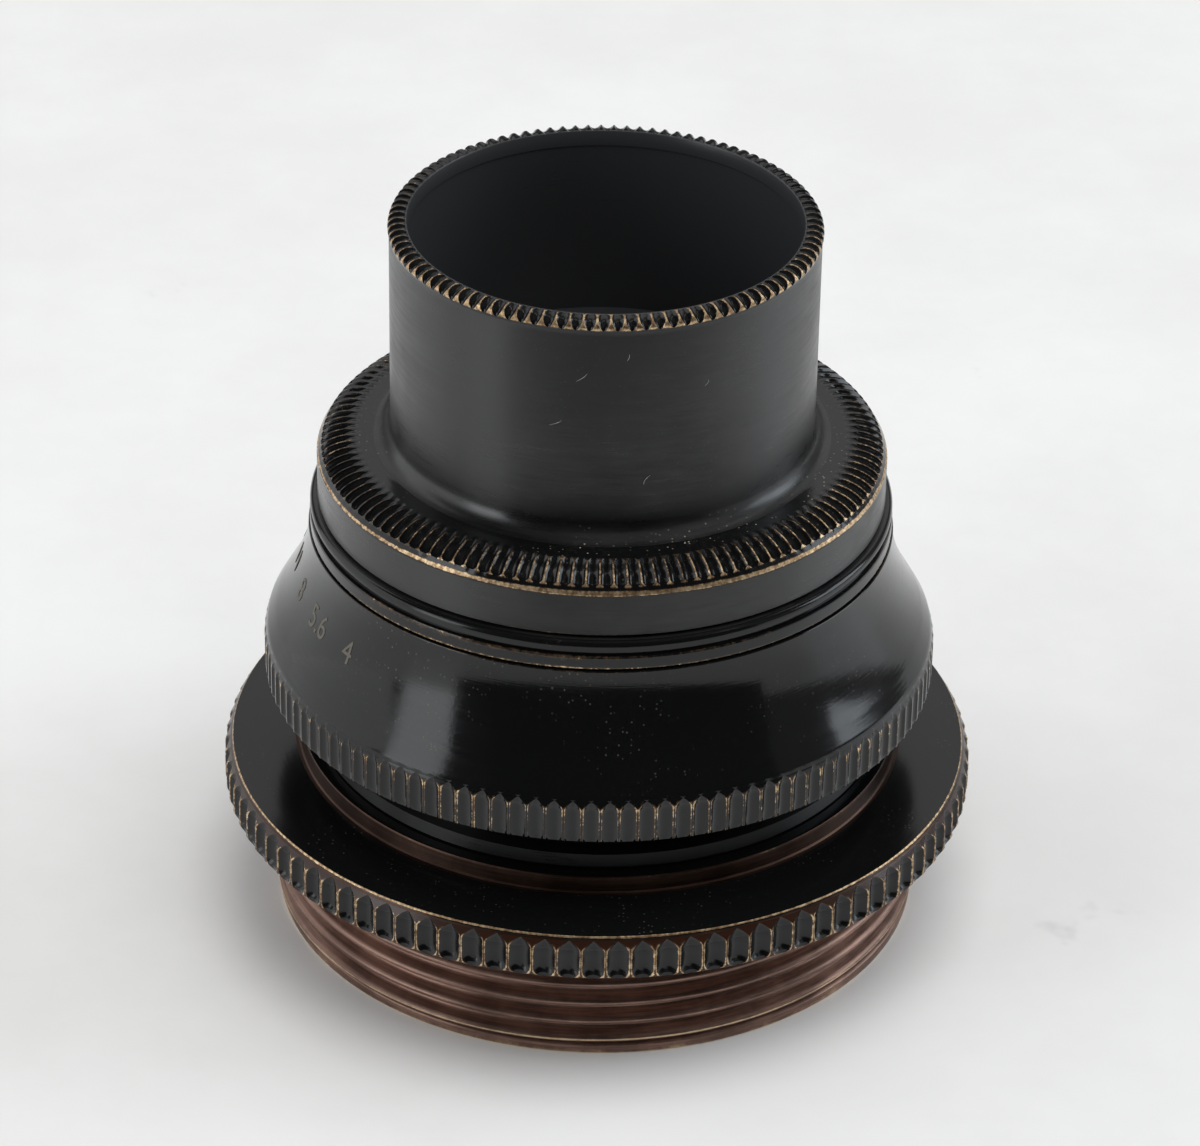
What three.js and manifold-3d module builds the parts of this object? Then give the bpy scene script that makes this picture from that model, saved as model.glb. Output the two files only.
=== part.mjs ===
// Small brass portrait lens standing on its rear thread: hood and front cell, iris control ring over the
// main barrel, a ten-blade iris inside it, a rear cell and a threaded mount flange.
// Millimetres, +Z up the optical axis towards the hood, origin at the centre of the bottom face.
import * as THREE from "three";
import { mergeVertices } from "three/addons/utils/BufferGeometryUtils.js";
import Module from "manifold-3d";

const wasm = await Module();
wasm.setup();

// Clearances.
const SEAT = 0.1; // between faces that rest on each other
const RUN = 0.15; // round the barrel, under a turning ring
const THREAD_FIT = 0.1; // between the plain cylinders that stand for mating threads
const GLASS_FIT = 0.1; // round a glass in its cell
const CEMENT = 0.03; // between the cemented faces of the front doublet
const PIN_FIT = 0.05; // round a pin that is fixed in its hole
const STUD_FIT = 0.1; // round a stud that turns in its hole
const SLOT_FIT = 0.2; // each side of a drive stud, which wanders a little off its slot's centre line
const EDGE_BREAK = 0.15; // small chamfers on turned corners
const OVERCUT = 1; // how far a cutting solid runs past what it cuts

// Mount flange: male thread of 1 1/4 inch, 24 threads per inch, under a knurled flange and a low boss.
const THREAD_RADIUS = 15.875;
const THREAD_LENGTH = 6.15;
const THREAD_DEPTH = 0.68;
const THREAD_LEAD = 0.15; // chamfer at the foot of the thread, inwards
const THREAD_LEAD_HEIGHT = 0.2;
const THREAD_RELIEF = 0.4; // groove between the thread and the flange
const SEAT_UNDERCUT = 0.12; // recess in the flange's underside over that groove
const FLANGE_OVERHANG = 2.475;
const FLANGE_HEIGHT = 2.18;
const FLANGE_EDGE = 0.4; // chamfer round the top of the flange, inwards
const FLANGE_EDGE_HEIGHT = 0.62;
const BOSS_WALL = 1.58;
const BOSS_HEIGHT = 0.84;
const DISH = 0.18; // rise of the flange's top from its edge to the boss

// Main barrel.
const FLANGE_WALL = 2.875; // thread radius to barrel radius
const BARREL_WALL = 0.9; // round the iris
const BARREL_RECESS = 1.8; // bottom of the barrel above the bottom of the thread
const STOP_WIDTH = 0.9; // shoulder that lands on the boss
const STOP_HEIGHT = 0.7;
const SINK_WALL = 2.15; // round the rear cell
const NECK_WIDTH = 0.98;
const NECK_HEIGHT = 1.45;
const NECK_GROOVE_BOTTOM = 0.68; // above the foot of the neck
const NECK_GROOVE_TOP = 1.06;
const NECK_GROOVE_DEPTH = 0.18;
const NECK_ROUND = 0.25;
const PIN_SLOT_SPARE = 0.5; // degrees that the drive pin's slot runs past the pin at each end

// Iris control ring: cone above a knurled band.
const RING_RISE = 3.05; // gap between the boss and the band
const BAND_HEIGHT = 2.2;
const SHOULDER_HEIGHT = 0.91;
const CONE_HEIGHT = 4.84;
const CONE_HOLLOW = 1.84; // power of the cone's hollow side
const CONE_STEP = 0.07; // top of the cone proud of the neck
const CONE_FLARE = 1.65;
const SHOULDER_WIDTH = 0.46;
const BAND_WIDTH = 0.12; // band proud of the shoulder
const LOCK_HEIGHT = 1.0;
const LOCK_WIDTH = 1.5;

// Iris.
const BLADES = 10;
const BLADE_SWING = 32; // degrees
const RING_TURN = 64; // degrees of the control ring for the blades' full swing
const BLADE_WIDTH = 3.0;
const BLADE_SHEET = 0.06;
const BLADE_RAMP = 1.45; // rise of each blade from its pivot end to its driven end
const PIVOT_INSET = 0.9; // stud centre inside the blade's outer edge
const BLADE_MARGIN = 0.3; // blade's outer edge inside the barrel
const STUD_RADIUS = 0.3;
const SEAT_RING_HEIGHT = 0.9;
const DRIVE_RING_HEIGHT = 1.6;
const STUD_REACH = 0.8; // stud length beyond the blade pack
const PACK_SLACK = 0.08; // spare height of the blade pack
const RING_MARGIN = 0.1; // iris rings' bore inside the blades' inner edge
const PIN_RADIUS = 0.4;
const PIN_BITE = 0.55; // drive pin in the control ring's wall
const PIN_ROOT = 1.0; // drive pin in the drive ring
const PIN_ANGLE = 94; // degrees, drive pin with the iris open
const KEEPER_HEIGHT = 0.5;
const KEEPER_WIDTH = 1.1;
const KEEPER_GAP = 14; // degrees left open in the spring ring
const SEAT_SCREW_RADIUS = 0.3;
const SEAT_SCREW_DEPTH = 0.5; // in the seat ring
const SEAT_SCREW_ANGLES = [18, 126, 234];

// Hood and front cell, one turning.
const HOOD_WALL = 0.8;
const HOOD_LENGTH = 11.3; // collar top to rim
const BEAD_STAND = 0.06; // rim bead proud of the tube
const BEAD_HEIGHT = 0.5;
const FOOT_FILLET = 1.2;
const COLLAR_STEP = 0.38; // collar inside the neck's edge
const COLLAR_LEDGE = 3.5; // hood radius to collar radius
const BEVEL_WIDTH = 1.7;
const BEVEL_ROUND = 1.2; // power of the bevel's rounded side
const BAND_OF_COLLAR = 2.14;
const BEVEL_HEIGHT = 1.0;
const LIP_WIDTH = 1.0; // lip in front of the front glass
const LIP_HEIGHT = 0.6;

// Glass: radii of curvature of the front and rear faces, hollow ones negative, and the least thickness,
// which is at the edge of a crown and at the middle of a flint.
const CEMENTED_FACE = 26;
const FRONT_CROWN = { front: 34, rear: CEMENTED_FACE, least: 0.9 };
const FRONT_FLINT = { front: -CEMENTED_FACE, rear: 125, least: 1.3 };
const REAR_FLINT = { front: 60, rear: -22, least: 1.0 };
const REAR_CROWN = { front: 24, rear: 45, least: 1.2 };
const RETAINER_WIDTH = 1.1;
const RETAINER_HEIGHT = 1.0;
const RETAINER_INSET = 0.35; // front retainer above the end of its cell
const NOTCH_WIDTH = 1.2; // spanner notches
const NOTCH_DEPTH = 0.5;

// Rear cell.
const REAR_CELL_WALL = 1.2;
const REAR_FLANGE_WIDTH = 1.7;
const REAR_FLANGE_HEIGHT = 0.8;
const REAR_LIP_WIDTH = 0.8;
const REAR_LIP_HEIGHT = 0.6;
const REAR_RETAINER_INSET = 3.6; // rear retainer above the end of its cell
const SPACER_WIDTH = 0.6;
const SPACER_HEIGHT = 0.8;

// Roundness.
const OUTER_SIDES = 48;
const INNER_SIDES = 32;
const PIN_SIDES = 10;

// Derived heights.
const FLANGE_TOP = THREAD_LENGTH + FLANGE_HEIGHT;
const BOSS_TOP = FLANGE_TOP + DISH + BOSS_HEIGHT;
const RING_BOTTOM = BOSS_TOP + RING_RISE;
const SHOULDER_BOTTOM = RING_BOTTOM + BAND_HEIGHT;
const CONE_BOTTOM = SHOULDER_BOTTOM + SHOULDER_HEIGHT;
const RING_TOP = CONE_BOTTOM + CONE_HEIGHT;
const NECK_BOTTOM = RING_TOP + SEAT;
const NECK_TOP = NECK_BOTTOM + NECK_HEIGHT;
const COLLAR_BOTTOM = NECK_TOP + SEAT;
const COLLAR_EDGE = COLLAR_BOTTOM + BAND_OF_COLLAR;
const COLLAR_TOP = COLLAR_EDGE + BEVEL_HEIGHT;
const HOOD_TOP = COLLAR_TOP + HOOD_LENGTH;
const CELL_BOTTOM = NECK_BOTTOM;

// Derived radii.
const BARREL_RADIUS = THREAD_RADIUS - FLANGE_WALL;
const PACK_RADIUS = BARREL_RADIUS - BARREL_WALL;
const SINK_RADIUS = BARREL_RADIUS - SINK_WALL;
const NECK_RADIUS = BARREL_RADIUS + NECK_WIDTH;
const RING_BORE = BARREL_RADIUS + RUN;
const CONE_TOP_RADIUS = NECK_RADIUS + CONE_STEP;
const CONE_FOOT_RADIUS = CONE_TOP_RADIUS + CONE_FLARE;
const SHOULDER_RADIUS = CONE_FOOT_RADIUS + SHOULDER_WIDTH;
const BAND_RADIUS = SHOULDER_RADIUS + BAND_WIDTH;
const FLANGE_RADIUS = THREAD_RADIUS + FLANGE_OVERHANG;
const FLANGE_BORE = BARREL_RADIUS + THREAD_FIT;
const COLLAR_RADIUS = NECK_RADIUS - COLLAR_STEP;
const HOOD_RADIUS = COLLAR_RADIUS - COLLAR_LEDGE;
const CELL_RADIUS = PACK_RADIUS - THREAD_FIT;
const FRONT_GLASS_RADIUS = HOOD_RADIUS - HOOD_WALL;
const FRONT_LIP_RADIUS = FRONT_GLASS_RADIUS - LIP_WIDTH;
const FRONT_RETAINER_INNER = FRONT_GLASS_RADIUS - RETAINER_WIDTH;
const REAR_CELL_RADIUS = SINK_RADIUS - THREAD_FIT;
const REAR_GLASS_RADIUS = REAR_CELL_RADIUS - REAR_CELL_WALL - GLASS_FIT;
const REAR_LIP_RADIUS = REAR_GLASS_RADIUS - REAR_LIP_WIDTH;
const SPACER_INNER = REAR_GLASS_RADIUS - SPACER_WIDTH;
const DRIVE_PIN_END = RING_BORE + PIN_BITE;
const DRIVE_PIN_ROOT = PACK_RADIUS - PIN_ROOT;
const SEAT_SCREW_TIP = PACK_RADIUS - SEAT_SCREW_DEPTH;

// Blades: a strip from the pivot stud to the driven stud, with a round end past each.
const BLADE_OUTER = PACK_RADIUS - BLADE_MARGIN;
const BLADE_INNER = BLADE_OUTER - BLADE_WIDTH;
const PACK_BORE = BLADE_INNER - RING_MARGIN;
const PIVOT_RADIUS = BLADE_OUTER - PIVOT_INSET;
const BLADE_SPAN = 180 - BLADE_SWING; // degrees between a blade's two studs
const BLADE_END = THREE.MathUtils.radToDeg(PIVOT_INSET / PIVOT_RADIUS); // degrees past a stud
const BLADE_END_RISE = (BLADE_RAMP * BLADE_END) / BLADE_SPAN;

// Iris pack, built down from the neck: keeper, drive ring, blades, seat ring, barrel shoulder.
const KEEPER_BOTTOM = CELL_BOTTOM - SEAT - KEEPER_HEIGHT;
const DRIVE_TOP = KEEPER_BOTTOM - SEAT;
const DRIVE_BOTTOM = DRIVE_TOP - DRIVE_RING_HEIGHT;
const PACK_TOP = DRIVE_BOTTOM - SEAT;
const PACK_BOTTOM = PACK_TOP - BLADE_RAMP - 2 * BLADE_END_RISE - BLADE_SHEET - PACK_SLACK;
const SEAT_RING_TOP = PACK_BOTTOM - SEAT;
const SEAT_RING_BOTTOM = SEAT_RING_TOP - SEAT_RING_HEIGHT;
const PACK_SHOULDER = SEAT_RING_BOTTOM - SEAT;
const PIN_HEIGHT = (DRIVE_BOTTOM + DRIVE_TOP) / 2;
const SEAT_SCREW_HEIGHT = (SEAT_RING_BOTTOM + SEAT_RING_TOP) / 2;

// Front doublet, built up from its retainer to the lip.
const FRONT_RETAINER_BOTTOM = CELL_BOTTOM + RETAINER_INSET;
const FRONT_RETAINER_TOP = FRONT_RETAINER_BOTTOM + RETAINER_HEIGHT;
const FRONT_REAR_VERTEX = FRONT_RETAINER_TOP + SEAT - sag(FRONT_FLINT.rear, FRONT_RETAINER_INNER);
const FLINT_VERTEX = FRONT_REAR_VERTEX + middle(FRONT_FLINT, FRONT_GLASS_RADIUS);
const FRONT_VERTEX = FLINT_VERTEX + CEMENT + middle(FRONT_CROWN, FRONT_GLASS_RADIUS);
const FRONT_LIP_BOTTOM = FRONT_VERTEX - sag(FRONT_CROWN.front, FRONT_LIP_RADIUS) + SEAT;

// Rear pair, built up from its retainer to the lip.
const REAR_CELL_FLANGE_TOP = BARREL_RECESS - SEAT;
const REAR_CELL_BOTTOM = REAR_CELL_FLANGE_TOP - REAR_FLANGE_HEIGHT;
const REAR_RETAINER_BOTTOM = REAR_CELL_BOTTOM + REAR_RETAINER_INSET;
const REAR_RETAINER_TOP = REAR_RETAINER_BOTTOM + RETAINER_HEIGHT;
const LAST_VERTEX = REAR_RETAINER_TOP + SEAT - sag(REAR_CROWN.rear, SPACER_INNER);
const REAR_CROWN_VERTEX = LAST_VERTEX + middle(REAR_CROWN, REAR_GLASS_RADIUS);
const SPACER_BOTTOM = REAR_CROWN_VERTEX - sag(REAR_CROWN.front, SPACER_INNER) + SEAT;
const SPACER_TOP = SPACER_BOTTOM + SPACER_HEIGHT;
const REAR_FLINT_VERTEX = SPACER_TOP + SEAT - sag(REAR_FLINT.rear, REAR_GLASS_RADIUS);
const REAR_VERTEX = REAR_FLINT_VERTEX + middle(REAR_FLINT, REAR_GLASS_RADIUS);
const REAR_LIP_BOTTOM = REAR_VERTEX - sag(REAR_FLINT.front, REAR_LIP_RADIUS) + SEAT;
const REAR_CELL_TOP = REAR_LIP_BOTTOM + REAR_LIP_HEIGHT;

// Depth of a spherical face at a radius; negative on a hollow face.
function sag(curvature, radius) {
  return curvature - Math.sign(curvature) * Math.sqrt(curvature ** 2 - radius ** 2);
}

// Thickness of a glass at its middle.
function middle({ front, rear, least }, radius) {
  return least + Math.max(0, sag(front, radius) + sag(rear, radius));
}

function radians(degrees) {
  return THREE.MathUtils.degToRad(degrees);
}

// A geometry as a manifold solid, without the empty triangles that a lathe leaves on its axis.
function solid(geometry) {
  geometry.deleteAttribute("normal");
  geometry.deleteAttribute("uv");
  const merged = mergeVertices(geometry, 1e-4);
  const corners = merged.index.array;
  const kept = [];
  for (let i = 0; i < corners.length; i += 3) {
    const [a, b, c] = corners.slice(i, i + 3);
    if (a !== b && b !== c && c !== a) kept.push(a, b, c);
  }
  const mesh = new wasm.Mesh({
    numProp: 3,
    vertProperties: merged.attributes.position.array,
    triVerts: new Uint32Array(kept),
  });
  return new wasm.Manifold(mesh);
}

// A turned piece. The outline is a list of [radius, height]; it closes on itself, or runs from the axis
// back to the axis.
function turned(outline, sides) {
  let area = 0;
  outline.forEach(([r, z], i) => {
    const [nextR, nextZ] = outline[(i + 1) % outline.length];
    area += r * nextZ - nextR * z;
  });
  const points = outline.map(([r, z]) => new THREE.Vector2(r, z));
  if (area < 0) points.reverse();
  const onAxis = points.some((p) => p.x === 0);
  if (!onAxis) points.push(points[0].clone());
  else while (points[0].x !== 0 || points.at(-1).x !== 0) points.push(points.shift());
  return solid(new THREE.LatheGeometry(points, sides).rotateX(Math.PI / 2));
}

// A plain ring or tube.
function ring(inner, outer, bottom, top, sides = INNER_SIDES) {
  return turned([[inner, bottom], [outer, bottom], [outer, top], [inner, top]], sides);
}

// Points of an arc in an outline, from one angle to another in degrees.
function arc(centreR, centreZ, radius, from, to, steps) {
  return Array.from({ length: steps + 1 }, (_, i) => {
    const angle = radians(from + ((to - from) * i) / steps);
    return [centreR + radius * Math.cos(angle), centreZ + radius * Math.sin(angle)];
  });
}

// An upright pin or hole at a radius and an angle from the axis.
function uprightPin(radius, at, angle, bottom, top) {
  const pin = new THREE.CylinderGeometry(radius, radius, top - bottom, PIN_SIDES);
  pin.rotateX(Math.PI / 2).translate(at, 0, (bottom + top) / 2).rotateZ(radians(angle));
  return solid(pin);
}

// A radial pin or hole at a height and an angle.
function radialPin(radius, from, to, height, angle) {
  const pin = new THREE.CylinderGeometry(radius, radius, to - from, PIN_SIDES);
  pin.rotateZ(Math.PI / 2).translate((from + to) / 2, 0, height).rotateZ(radians(angle));
  return solid(pin);
}

// A block that crosses the rim of a ring, for spanner notches and keyways.
function block(width, from, to, bottom, top, angle) {
  const box = new THREE.BoxGeometry(to - from, width, top - bottom);
  box.translate((from + to) / 2, 0, (bottom + top) / 2).rotateZ(radians(angle));
  return solid(box);
}

// Part of a ring between two angles.
function sector(inner, outer, bottom, top, from, to, steps) {
  const shape = new THREE.Shape();
  shape.absarc(0, 0, outer, radians(from), radians(to), false);
  shape.absarc(0, 0, inner, radians(to), radians(from), true);
  const options = { depth: top - bottom, bevelEnabled: false, curveSegments: steps };
  return solid(new THREE.ExtrudeGeometry(shape, options).translate(0, 0, bottom));
}

// A glass with its front vertex at a height.
function glass(shape, radius, vertex) {
  const steps = 4;
  const radii = Array.from({ length: steps + 1 }, (_, i) => (radius * i) / steps);
  const rearVertex = vertex - middle(shape, radius);
  const frontFace = radii.map((r) => [r, vertex - sag(shape.front, r)]);
  const rearFace = radii.map((r) => [r, rearVertex + sag(shape.rear, r)]);
  return turned([...frontFace, ...rearFace.reverse()], INNER_SIDES);
}

// What cuts a spanner notch in the lower face of a ring.
function notchCutter(inner, outer, bottom, angle) {
  return block(NOTCH_WIDTH, inner - OVERCUT, outer + OVERCUT, bottom - OVERCUT, bottom + NOTCH_DEPTH, angle);
}

// A threaded ring with two spanner notches in its lower face.
function spannerRing(inner, outer, bottom, top) {
  let body = ring(inner, outer, bottom, top);
  for (const angle of [0, 180]) {
    body = body.subtract(notchCutter(inner, outer, bottom, angle));
  }
  return body;
}

// Mount flange: chamfered male thread, relief groove, knurled flange, dished top and boss.
function mountFlange() {
  const root = THREAD_RADIUS - THREAD_DEPTH;
  const relief = THREAD_LENGTH - THREAD_RELIEF;
  const undercut = THREAD_LENGTH + SEAT_UNDERCUT;
  const seatInner = THREAD_RADIUS + THREAD_FIT;
  const bossRadius = BARREL_RADIUS + BOSS_WALL;
  return turned(
    [
      [FLANGE_BORE + 2 * EDGE_BREAK, 0],
      [THREAD_RADIUS - THREAD_LEAD, 0],
      [THREAD_RADIUS, THREAD_LEAD_HEIGHT],
      [THREAD_RADIUS, relief - EDGE_BREAK],
      [root, relief],
      [root, undercut],
      [seatInner, undercut],
      [seatInner, THREAD_LENGTH],
      [FLANGE_RADIUS - EDGE_BREAK, THREAD_LENGTH],
      [FLANGE_RADIUS, THREAD_LENGTH + EDGE_BREAK],
      [FLANGE_RADIUS, FLANGE_TOP - FLANGE_EDGE_HEIGHT],
      [FLANGE_RADIUS - FLANGE_EDGE, FLANGE_TOP],
      [bossRadius, FLANGE_TOP + DISH],
      [bossRadius, BOSS_TOP],
      [FLANGE_BORE, BOSS_TOP],
      [FLANGE_BORE, 2 * EDGE_BREAK],
    ],
    OUTER_SIDES,
  );
}

// Main barrel: stop shoulder on the boss, neck above the control ring, bores for the rear cell and the
// iris pack, a slot for the drive pin and holes for the seat ring's screws.
function barrel() {
  const stopBottom = BOSS_TOP + SEAT;
  const groove = NECK_RADIUS - NECK_GROOVE_DEPTH;
  const slotBottom = PIN_HEIGHT - PIN_RADIUS - RUN;
  const slotTop = PIN_HEIGHT + PIN_RADIUS + RUN;
  const pinHalf = THREE.MathUtils.radToDeg((PIN_RADIUS + RUN) / PACK_RADIUS) + PIN_SLOT_SPARE;
  const slotSteps = 16;
  let body = turned(
    [
      [SINK_RADIUS, BARREL_RECESS],
      [BARREL_RADIUS, BARREL_RECESS],
      [BARREL_RADIUS, stopBottom],
      [BARREL_RADIUS + STOP_WIDTH, stopBottom],
      [BARREL_RADIUS + STOP_WIDTH, stopBottom + STOP_HEIGHT],
      [BARREL_RADIUS, stopBottom + STOP_HEIGHT],
      [BARREL_RADIUS, NECK_BOTTOM],
      [NECK_RADIUS, NECK_BOTTOM],
      [NECK_RADIUS, NECK_BOTTOM + NECK_GROOVE_BOTTOM],
      [groove, NECK_BOTTOM + NECK_GROOVE_BOTTOM],
      [groove, NECK_BOTTOM + NECK_GROOVE_TOP],
      [NECK_RADIUS, NECK_BOTTOM + NECK_GROOVE_TOP],
      [NECK_RADIUS - NECK_ROUND, NECK_TOP],
      [PACK_RADIUS, NECK_TOP],
      [PACK_RADIUS, PACK_SHOULDER],
      [SINK_RADIUS, PACK_SHOULDER],
    ],
    OUTER_SIDES,
  );
  const slot = sector(
    PACK_RADIUS - OVERCUT,
    NECK_RADIUS,
    slotBottom,
    slotTop,
    PIN_ANGLE - pinHalf,
    PIN_ANGLE + RING_TURN + pinHalf,
    slotSteps,
  );
  body = body.subtract(slot);
  for (const angle of SEAT_SCREW_ANGLES)
    body = body.subtract(seatScrewHole(BARREL_RADIUS + OVERCUT, angle));
  return body;
}

function seatScrewHole(outer, angle) {
  return radialPin(SEAT_SCREW_RADIUS + PIN_FIT, SEAT_SCREW_TIP - SEAT, outer, SEAT_SCREW_HEIGHT, angle);
}

function seatScrew(angle) {
  return radialPin(SEAT_SCREW_RADIUS, SEAT_SCREW_TIP, BARREL_RADIUS - SEAT, SEAT_SCREW_HEIGHT, angle);
}

// Iris control ring: knurled band, plain shoulder and a hollow-sided cone, with a keyway for the drive pin.
function irisRing() {
  const coneSteps = 6;
  const cone = Array.from({ length: coneSteps + 1 }, (_, i) => {
    const down = 1 - i / coneSteps;
    return [CONE_TOP_RADIUS + CONE_FLARE * down ** CONE_HOLLOW, RING_TOP - CONE_HEIGHT * down];
  });
  const body = turned(
    [
      [RING_BORE, RING_BOTTOM],
      [BAND_RADIUS - EDGE_BREAK, RING_BOTTOM],
      [BAND_RADIUS, RING_BOTTOM + EDGE_BREAK],
      [BAND_RADIUS, SHOULDER_BOTTOM - EDGE_BREAK],
      [SHOULDER_RADIUS, SHOULDER_BOTTOM],
      ...cone,
      [RING_BORE, RING_TOP],
    ],
    OUTER_SIDES,
  );
  const keyway = block(
    2 * (PIN_RADIUS + SEAT),
    RING_BORE - OVERCUT,
    DRIVE_PIN_END + SEAT,
    RING_BOTTOM - OVERCUT,
    PIN_HEIGHT + PIN_RADIUS + SEAT,
    PIN_ANGLE,
  );
  return body.subtract(keyway);
}

// The drive pin reaches from the drive ring into the control ring's wall.
function drivePin() {
  return radialPin(PIN_RADIUS, DRIVE_PIN_ROOT + SEAT, DRIVE_PIN_END, PIN_HEIGHT, PIN_ANGLE);
}

// Seat ring: a pivot hole for each blade and blind holes for the seat screws.
function seatRing() {
  const bottom = SEAT_RING_BOTTOM - OVERCUT;
  const top = SEAT_RING_TOP + OVERCUT;
  let body = ring(PACK_BORE, PACK_RADIUS - SEAT, SEAT_RING_BOTTOM, SEAT_RING_TOP);
  for (let i = 0; i < BLADES; i++) {
    const hole = uprightPin(STUD_RADIUS + STUD_FIT, PIVOT_RADIUS, (360 / BLADES) * i, bottom, top);
    body = body.subtract(hole);
  }
  for (const angle of SEAT_SCREW_ANGLES)
    body = body.subtract(seatScrewHole(PACK_RADIUS + OVERCUT, angle));
  return body;
}

// Drive ring: a radial slot for each blade's driven stud, and the drive pin's hole.
function driveRing() {
  const reach = 2 * PIVOT_RADIUS * Math.sin(radians(BLADE_SPAN / 2)) - PIVOT_RADIUS;
  const half = STUD_RADIUS + SLOT_FIT;
  const bottom = DRIVE_BOTTOM - OVERCUT;
  const top = DRIVE_TOP + OVERCUT;
  let body = ring(PACK_BORE, PACK_RADIUS - RUN, DRIVE_BOTTOM, DRIVE_TOP);
  for (let i = 0; i < BLADES; i++) {
    const angle = BLADE_SPAN + (360 / BLADES) * i;
    const slot = block(2 * half, reach, PIVOT_RADIUS, bottom, top, angle)
      .add(uprightPin(half, reach, angle, bottom, top))
      .add(uprightPin(half, PIVOT_RADIUS, angle, bottom, top));
    body = body.subtract(slot);
  }
  const hole = radialPin(PIN_RADIUS + PIN_FIT, DRIVE_PIN_ROOT, PACK_RADIUS + OVERCUT, PIN_HEIGHT, PIN_ANGLE);
  return body.subtract(hole);
}

// One iris blade: a thin curved strip that climbs steadily from its pivot end to its driven end, so that
// each blade lies over the next one round and under the one before, with a stud down into the seat ring and
// a stud up into the drive ring.
function blade(index) {
  const steps = 14;
  const endSteps = 2;
  const endReach = 0.96; // how far round its end the strip is cut off blunt
  const low = PACK_BOTTOM + BLADE_END_RISE + PACK_SLACK / 2;
  const stations = [];
  const station = (angle, share) => {
    const height = low + (BLADE_RAMP * angle) / BLADE_SPAN;
    const inner = PIVOT_RADIUS - (PIVOT_RADIUS - BLADE_INNER) * share;
    stations.push({ angle, height, inner, outer: PIVOT_RADIUS + PIVOT_INSET * share });
  };
  for (let i = -endSteps; i <= steps + endSteps; i++) {
    const past = (endReach * Math.max(-i, i - steps, 0)) / endSteps;
    const inside = Math.min(Math.max(i, 0), steps);
    const beyond = Math.sign(i - inside) * BLADE_END * past;
    station((BLADE_SPAN * inside) / steps + beyond, Math.sqrt(1 - past ** 2));
  }
  const positions = stations.flatMap(({ angle, height, inner, outer }) => {
    const [c, s] = [Math.cos(radians(angle)), Math.sin(radians(angle))];
    const top = height + BLADE_SHEET;
    return [
      [inner * c, inner * s, height],
      [outer * c, outer * s, height],
      [outer * c, outer * s, top],
      [inner * c, inner * s, top],
    ].flat();
  });
  const corners = [];
  const quad = (a, b, c, d) => corners.push(a, b, c, a, c, d);
  for (let i = 0; i + 1 < stations.length; i++)
    for (let side = 0; side < 4; side++) {
      const next = (side + 1) % 4;
      quad(4 * i + side, 4 * i + 4 + side, 4 * i + 4 + next, 4 * i + next);
    }
  const last = 4 * (stations.length - 1);
  quad(0, 1, 2, 3);
  quad(last + 3, last + 2, last + 1, last);
  const strip = new THREE.BufferGeometry();
  strip.setAttribute("position", new THREE.Float32BufferAttribute(positions, 3));
  strip.setIndex(corners);
  const pivotTop = low + BLADE_SHEET / 2;
  const driveLow = pivotTop + BLADE_RAMP;
  const pivotStud = uprightPin(STUD_RADIUS, PIVOT_RADIUS, 0, SEAT_RING_TOP - STUD_REACH, pivotTop);
  const driveStud = uprightPin(STUD_RADIUS, PIVOT_RADIUS, BLADE_SPAN, driveLow, DRIVE_BOTTOM + STUD_REACH);
  return solid(strip)
    .add(pivotStud)
    .add(driveStud)
    .rotate([0, 0, (360 / BLADES) * index]);
}

// Hood and front cell: knurled rim bead, plain tube, filleted foot, bevelled collar and a male thread into
// the barrel; inside, the hood's bore, a lip and the seat of the front doublet.
function hoodCell() {
  const bore = HOOD_RADIUS - HOOD_WALL;
  const bead = BEAD_HEIGHT / 2;
  const beadOuter = HOOD_RADIUS + BEAD_STAND;
  const seat = FRONT_GLASS_RADIUS + GLASS_FIT;
  const lipTop = FRONT_LIP_BOTTOM + LIP_HEIGHT;
  const bevelInner = COLLAR_RADIUS - BEVEL_WIDTH;
  const foot = Math.min(FOOT_FILLET, bevelInner - HOOD_RADIUS);
  return turned(
    [
      [seat, CELL_BOTTOM],
      [CELL_RADIUS, CELL_BOTTOM],
      [CELL_RADIUS, COLLAR_BOTTOM],
      [COLLAR_RADIUS - EDGE_BREAK, COLLAR_BOTTOM],
      [COLLAR_RADIUS, COLLAR_BOTTOM + EDGE_BREAK],
      ...arc(0, 0, 1, 0, 90, 3).map(([across, up]) => [
        bevelInner + across * BEVEL_WIDTH,
        COLLAR_EDGE + up ** BEVEL_ROUND * BEVEL_HEIGHT,
      ]),
      ...arc(HOOD_RADIUS + foot, COLLAR_TOP + foot, foot, 270, 180, 3),
      [HOOD_RADIUS, HOOD_TOP - BEAD_HEIGHT],
      ...arc(beadOuter - bead, HOOD_TOP - bead, bead, -40, 90, 4),
      [bore + EDGE_BREAK, HOOD_TOP],
      [bore, HOOD_TOP - EDGE_BREAK],
      [bore, lipTop],
      [FRONT_LIP_RADIUS, lipTop],
      [FRONT_LIP_RADIUS, FRONT_LIP_BOTTOM],
      [seat, FRONT_LIP_BOTTOM],
    ],
    OUTER_SIDES,
  );
}

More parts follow.
